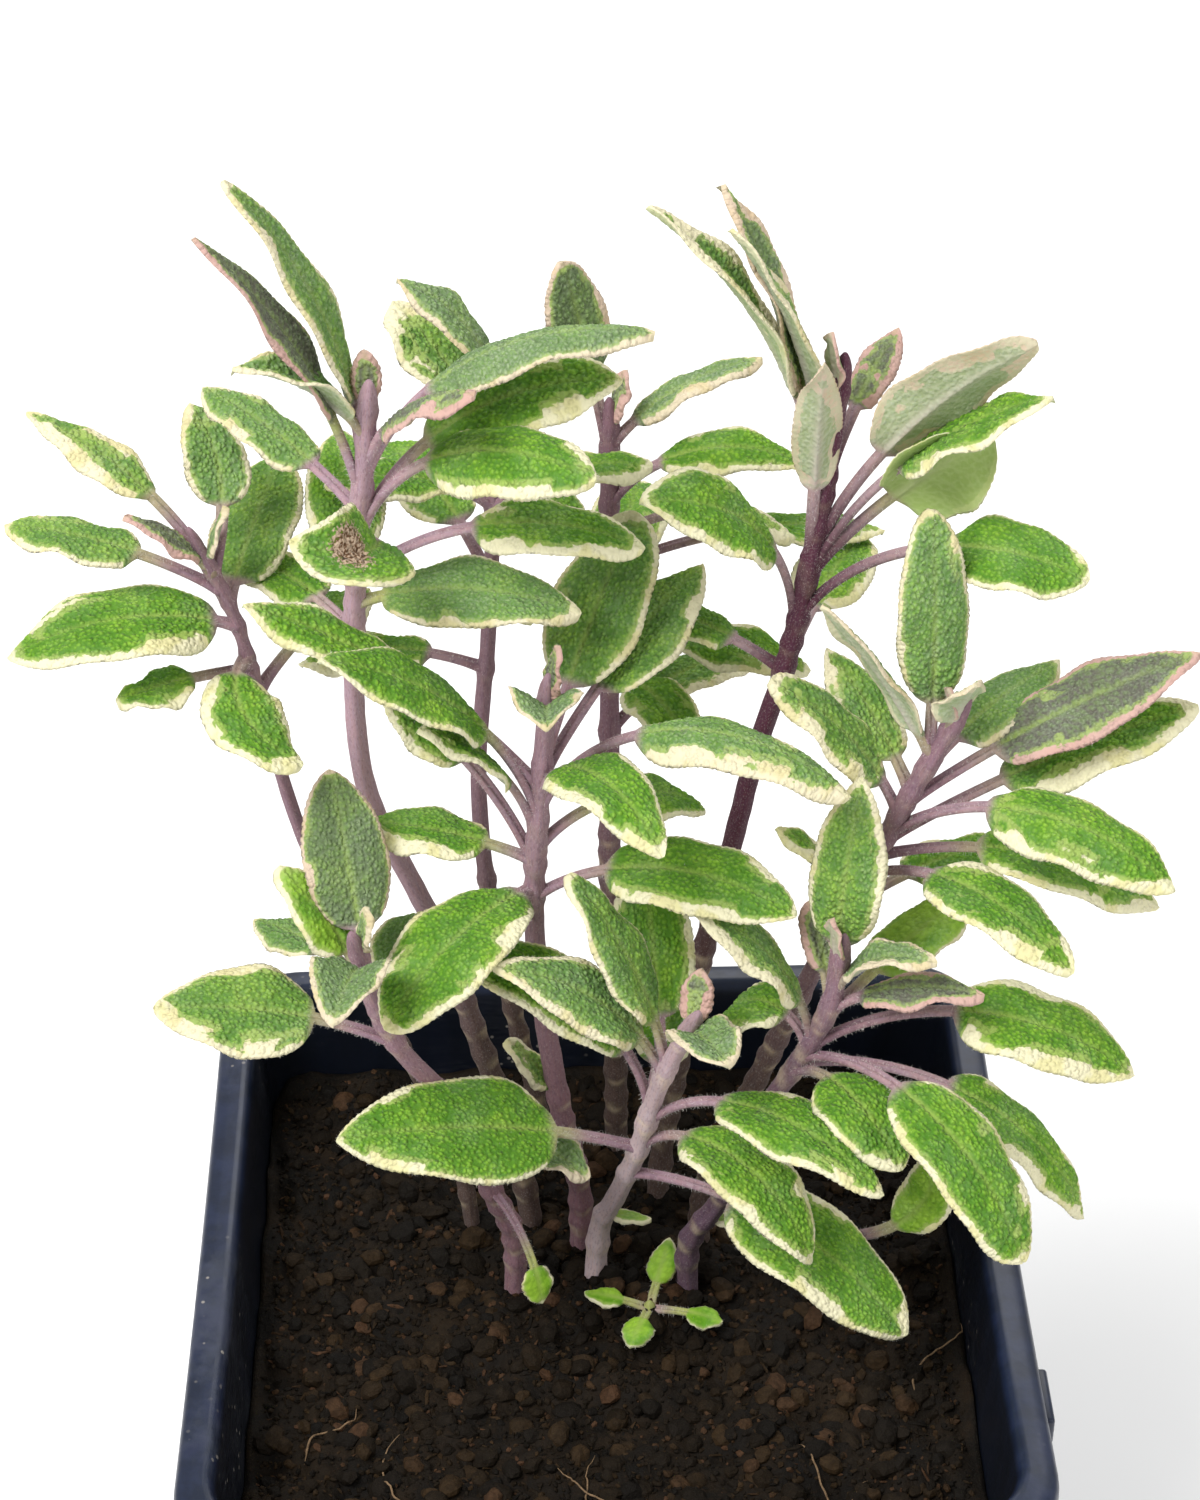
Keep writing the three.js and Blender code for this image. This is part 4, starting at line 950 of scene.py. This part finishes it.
def wallSide(height):
    top = potForm["rimSide"] - 2 * (potForm["rimWidth"] - potForm["thick"])
    return potForm["baseSide"] + (top - potForm["baseSide"]) * height / potForm["height"]


def wallRing(height, inset=0.0):
    skirt = potForm["height"] - potForm["rimDrop"]
    bow = potForm["bow"] * np.interp(height, (0, skirt / 2, skirt), (0, 0.3, 1))
    corner = potForm["baseCorner"] + 0.5 * height / potForm["height"]
    return squareRing(wallSide(height) - 2 * inset, corner - inset, bow, height)


def makePot():
    form = potForm
    top, floor, side, corner = form["height"], form["floor"], form["rimSide"], form["rimCorner"]
    skirt = top - form["rimDrop"]
    # side, corner, bow and height of each ring: beneath the pot, from the middle outwards
    rings = [squareRing(*level) for level in ((20, 9, 0, 1.0), (80, 8, 0, 1.0), (81.2, 8.4, 0, 0.1),
        (86.8, 8.8, 0, 0.0), (88.6, 9, 0, 0.35), (wallSide(1.2) - 0.4, 9, 0, 1.1))]
    rings += [wallRing(height) for height in (2.2, 8, 18, 30, 42, 54, 66, 78, 88, 96, skirt - 0.7)]
    # under the rim, its face, its soft edge, its top and its inner lip
    rim = ((wallSide(skirt) + 0.9, 9.8, skirt - 0.15), (wallSide(skirt) + 2.2, 10.2, skirt + 0.05),
        (118.0, 11.6, skirt + 0.1), (118.8, 11.9, skirt + 0.45), (119.0, 12.0, skirt + 1.0),
        (119.5, 12.3, skirt + 4), (side, corner, top - 2.9), (side, corner, top - 2.0),
        (119.75, 12.4, top - 1.1), (119.1, 12.1, top - 0.45), (118.0, 11.7, top - 0.08),
        (115.2, 10.9, top + 0.02), (112.4, 10.0, top + 0.2), (111.2, 9.6, top + 0.2),
        (110.2, 9.2, top - 0.1), (109.5, 8.9, top - 0.7))
    rings += [squareRing(*level[:2], form["bow"], level[2]) for level in rim]
    # the inside, down to the middle of the floor
    heights = (top - 1.6, 104, 98, 90, 70, 50, 30, 12, 5, floor + 0.9)
    inner = [wallRing(height, form["thick"]) for height in heights]
    inner += [squareRing(*level) for level in ((wallSide(2) - 5.4, 6.5, 0, floor + 0.15), (60, 6, 0, floor),
        (20, 6, 0, floor))]
    # the inside rings are marked for the painted shade in the pot's finish
    within = np.repeat((0, 1), (len(rings), len(inner)))[:, None] + np.zeros(len(inner[0]))
    shell = ringPiece("pot_shell", rings + inner, potFinish, {"within": np.append(within, (0, 1))})

    cutters = bmesh.new()
    spread, radius = form["drainSpread"] * mm, form["drainRadius"] * mm
    for angle in np.radians((45, 135, 225, 315)):
        place = Matrix.Translation((spread * math.cos(angle), spread * math.sin(angle), 1.5 * mm))
        bmesh.ops.create_cone(cutters, cap_ends=True, segments=form["drainSides"], radius1=radius,
            radius2=radius, depth=form["drainDepth"] * mm, matrix=place)
    joinShape(shell, cutters, "DIFFERENCE")

    lug = bmesh.new()
    depth, length, height = form["lug"]
    place = Matrix.Translation(Vector((side / 2 - 0.3, form["lugPlace"], top - form["rimDrop"] / 2)) * mm)
    sizes = Matrix.Diagonal(Vector((2 * depth * mm, length * mm, height * mm, 1)))
    bmesh.ops.create_cube(lug, size=1, matrix=place @ sizes)
    bmesh.ops.bevel(lug, geom=lug.edges[:], offset=form["lugEdge"] * mm, segments=3, affect="EDGES",
        profile=0.5)
    joinShape(shell, lug, "UNION")
    shell.data.polygons.foreach_set("use_smooth", np.ones(len(shell.data.polygons), bool))
    shell.data.set_sharp_from_angle(angle=math.radians(42))
    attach(shell, "root")
    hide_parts("pot")


def joinShape(piece, shape, operation):
    # cuts a shape from a piece, or joins it on, and keeps the result as a plain mesh
    bmesh.ops.recalc_face_normals(shape, faces=shape.faces[:])
    mesh = bpy.data.meshes.new("tool_shape")
    shape.to_mesh(mesh)
    shape.free()
    mesh.materials.append(piece.data.materials[0])
    tool = newObject("tool_shape", mesh)
    step = piece.modifiers.new("shape", "BOOLEAN")
    step.operation = operation
    step.solver = "EXACT"
    step.object = tool
    keepResult(piece)
    bpy.data.objects.remove(tool)


compostForm = {
    "top": 94, "bottom": 2.5, "inset": 1.7, "most": 2.6,
    "swells": ((1.3, 8.0, 5), (0.7, 3.0, 6), (0.3, 1.3, 7)),    # lumps and grit: height, size and seed
    "mound": (1.6, 4.5),    # height and size of the mound at each stem
    "rings": 74,
}


def compostHeight(x, y):
    form = compostForm
    place = np.stack([x, y], -1)
    height = form["top"] - 0.4
    for swell, size, seed in form["swells"]:
        height = height + swell * ripple(place, size, seed)
    for shoot in shoots.values():
        footX, footY = shoot["route"][0]
        height += form["mound"][0] * hump(np.hypot(x - footX, y - footY), form["mound"][1])
    return np.minimum(height, form["top"] + form["most"])


def topRings(skipped):
    # the compost's top as rings, from the wall to the middle, without the outermost few
    edge = wallRing(compostForm["top"], compostForm["inset"])
    rings = []
    for scale in np.linspace(1, 0.02, compostForm["rings"])[skipped:]:
        ring = edge * (scale, scale, 1)
        ring[:, 2] = compostHeight(ring[:, 0], ring[:, 1])
        rings.append(ring)
    return rings


def makeCompost():
    form = compostForm
    walls = [wallRing(height, form["inset"]) for height in (form["bottom"], 25, 50, 75, 90)]
    soil = ringPiece("compost_bed", walls + topRings(0), soilFinish)
    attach(soil, "root")
    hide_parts("compost")


crumbForms = {
    # crumbs on a square mm, size mm, how a crumb is stretched, its faces, how far up the tones go,
    # and how many rings stay bare along the wall
    "compost_grit": {"density": 0.8, "size": (0.4, 1.4), "stretch": (1.0, 0.8, 0.7), "detail": 1,
        "tone": 0.91, "seed": 3, "clear": 2},
    "compost_lumps": {"density": 0.085, "size": (1.5, 4.8), "stretch": (1.0, 0.8, 0.55), "detail": 2,
        "tone": 0.89, "seed": 8, "clear": 4},
    "compost_fibres": {"density": 0.14, "size": (1.2, 3.6), "stretch": (1.0, 0.16, 0.12), "detail": 1,
        "tone": 0.92, "seed": 21, "clear": 3},
}
crumbTilt = 0.6
steepest = 0.4              # crumbs lie only where the compost is flatter than this
dents = {"scale": 700.0, "depth": 0.0011}


def makeCrumbs(name, form):
    # crumbs scattered over the compost's top, each turned, sized and dented at random
    piece = ringPiece(name, topRings(form["clear"]), soilFinish)
    sheet, start, density, seed = startScatter(name)
    upward = sheet.join("DOT_PRODUCT", sheet.add("GeometryNodeInputNormal"), (0, 0, 1), 1)
    onTop = sheet.add("FunctionNodeCompare", {"data_type": "FLOAT", "operation": "GREATER_THAN"},
        {0: upward, 1: steepest})
    spots = sheet.add("GeometryNodeDistributePointsOnFaces", None,
        {"Mesh": start, "Selection": onTop, "Density": density, "Seed": seed})
    toned = sheet.store(spots, "tonePick", sheet.number(0.0, form["tone"], seed))
    crumb = sheet.add("GeometryNodeMeshIcoSphere", None,
        {"Radius": 0.5 * mm, "Subdivisions": form["detail"]})
    crumb = sheet.add("GeometryNodeTransform", None, {"Geometry": crumb, "Scale": form["stretch"]})
    turn = sheet.vector((-crumbTilt, -crumbTilt, 0.0), (crumbTilt, crumbTilt, 6.28), seed + 1)
    crumbs = sheet.plant(toned, crumb, turn, sheet.number(*form["size"], seed + 2))
    dent = sheet.add("ShaderNodeTexNoise", None,
        {"Vector": sheet.add("GeometryNodeInputPosition"), "Scale": dents["scale"], "Detail": 1.0}, 1)
    push = sheet.add("ShaderNodeVectorMath", {"operation": "SCALE"},
        {0: sheet.join("SUBTRACT", dent, (0.5, 0.5, 0.5)), "Scale": dents["depth"]})
    dented = sheet.add("GeometryNodeSetPosition", None, {"Geometry": crumbs, "Offset": push})
    kept = sheet.store(dented, "crumbTone", sheet.named("tonePick"))
    endScatter(piece, sheet, kept, crumbFinish, form["density"], form["seed"])
    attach(piece, "root")


rootForm = {
    # start x and y, heading, and length
    "strands": ((38, -44, 20, 24), (34, -40, 150, 16), (-14, -46, 5, 22), (18, -49, 10, 26),
        (-30, -42, 60, 18), (44, -20, 100, 20), (4, -38, 200, 15), (-44, -30, 80, 14)),
    "radius": 0.17,
    "sides": 6,
    "step": 0.5,
    "bend": 0.17,           # how much a step turns, in radians
    "lift": (0.35, 0.7),    # over the compost, at the least, and as much again in its waves
    "reach": 52,
}


def makeRoots():
    # fine roots lying over the compost
    form = rootForm
    places, faces, count = [], [], 0
    draw = np.random.default_rng(17)
    for x, y, heading, length in form["strands"]:
        steps = int(length / form["step"])
        run = np.arange(steps)
        way = math.radians(heading) + np.cumsum(draw.normal(0, form["bend"], steps))
        path = (x, y) + np.cumsum(np.stack([np.cos(way), np.sin(way)], -1), 0) * form["step"]
        path = np.clip(path, -form["reach"], form["reach"])
        height = compostHeight(*path.T) + form["lift"][0] + form["lift"][1] * np.abs(np.sin(run / 9))
        angle = 2 * math.pi * np.arange(form["sides"]) / form["sides"]
        across = np.stack([-np.sin(way), np.cos(way), way * 0], -1)
        radius = form["radius"] * np.interp(run, (0, 3, steps * 0.7, steps), (0.2, 1, 0.8, 0.2))[:, None]
        rings = sweepRings(np.column_stack([path, height]), across, across * 0 + (0, 0, 1),
            radius * np.cos(angle), radius * np.sin(angle))
        places.append(closeRings(rings))
        faces += ringFaces(steps, form["sides"], count)
        count += len(places[-1])
    tone = np.full(count, 0.97)
    roots = meshPiece("compost_roots", np.vstack(places), faces, crumbFinish, {"crumbTone": tone})
    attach(roots, "root")


downForm = {
    "density": 4.4,         # hairs on a square mm where it is thickest
    "length": 0.62,
    "radius": 0.022,
    "tilt": 0.65,
}


def makeDown(shoot, order):
    # fine hairs over stalks, margins and felted leaves, by the attribute fuzz
    form = downForm
    name = shoot.name.replace("leafy_", "down_")
    piece = newObject(name, shoot.data.copy())
    sheet, start, density, seed = startScatter(name)
    spots = sheet.add("GeometryNodeDistributePointsOnFaces", None,
        {"Mesh": start, "Density": sheet.named("fuzz") * density, "Seed": seed})
    hair = sheet.add("GeometryNodeMeshCone", None, {"Vertices": 3, "Radius Top": 0.0,
        "Radius Bottom": form["radius"] * mm, "Depth": form["length"] * mm})
    tilt = sheet.vector((-form["tilt"], -form["tilt"], -3.0), (form["tilt"], form["tilt"], 3.0), seed + 1)
    turn = sheet.add("FunctionNodeRotateRotation", {"rotation_space": "LOCAL"},
        {0: sheet.other(spots, 2), 1: tilt})
    hairs = sheet.plant(spots, hair, turn, sheet.number(0.5, 1.3, seed + 2) * sheet.named("hair"))
    endScatter(piece, sheet, hairs, downFinish, form["density"], 40 + order)
    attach(piece, "root")


makePot()
print("pot made")
makeCompost()
for crumbName, crumbForm in crumbForms.items():
    makeCrumbs(crumbName, crumbForm)
makeRoots()
print("compost made")
for order, (shootName, shoot) in enumerate(shoots.items()):
    makeDown(makeShoot(shootName, shoot, order), order)
print("shoots made")


studioForm = {
    "floor": 4,             # half its side, m
    "floorDrop": 0.0002,
    "aim": (0, 0, 0.14),
    "daylight": 0.62,
    "lamps": {
        "key": {"place": (-0.75, -0.55, 1.35), "size": 0.8, "power": 26.0},
        "fill": {"place": (0.95, -0.75, 0.85), "size": 0.9, "power": 5.0},
        "back": {"place": (0.25, 1.05, 1.0), "size": 0.9, "power": 6.0},
    },
    "camera": (-0.0092, -0.3504, 0.4563),
    "cameraTilt": 90 - 36.5,
    "cameraTurn": -1.3,
    "lens": 80,
    "sensor": 36,
}


def makeStudio():
    form = studioForm
    far = form["floor"]
    floor = bpy.data.meshes.new("studio_floor")
    floor.from_pydata([(-far, -far, 0), (far, -far, 0), (far, far, 0), (-far, far, 0)], [], [(0, 1, 2, 3)])
    floor.materials.append(makeStageFinish())
    stage = newObject("studio_floor", floor)
    stage.location.z = -form["floorDrop"]

    for name, lampForm in form["lamps"].items():
        lamp = bpy.data.lights.new(name, "AREA")
        lamp.shape = "SQUARE"
        lamp.size = lampForm["size"]
        lamp.energy = lampForm["power"]
        holder = newObject(name, lamp)
        holder.location = lampForm["place"]
        aim = Vector(form["aim"]) - holder.location
        holder.rotation_euler = aim.to_track_quat("-Z", "Y").to_euler()

    world = bpy.data.worlds.new("studio")
    world.use_nodes = True
    sheet = NodeSheet(world.node_tree)
    light = sheet.add("ShaderNodeBackground", None, {"Color": (1, 1, 1, 1), "Strength": form["daylight"]})
    sheet.add("ShaderNodeOutputWorld", None, {"Surface": light})
    bpy.context.scene.world = world
    bpy.context.scene.view_settings.view_transform = "Standard"


def makeCamera():
    form = studioForm
    lens = bpy.data.cameras.new("photo_camera")
    lens.lens = form["lens"]
    lens.sensor_width = form["sensor"]
    camera = newObject("photo_camera", lens)
    camera.location = form["camera"]
    camera.rotation_euler = (math.radians(form["cameraTilt"]), 0, math.radians(form["cameraTurn"]))
    bpy.context.scene.camera = camera


makeStudio()
makeCamera()
print("studio made")
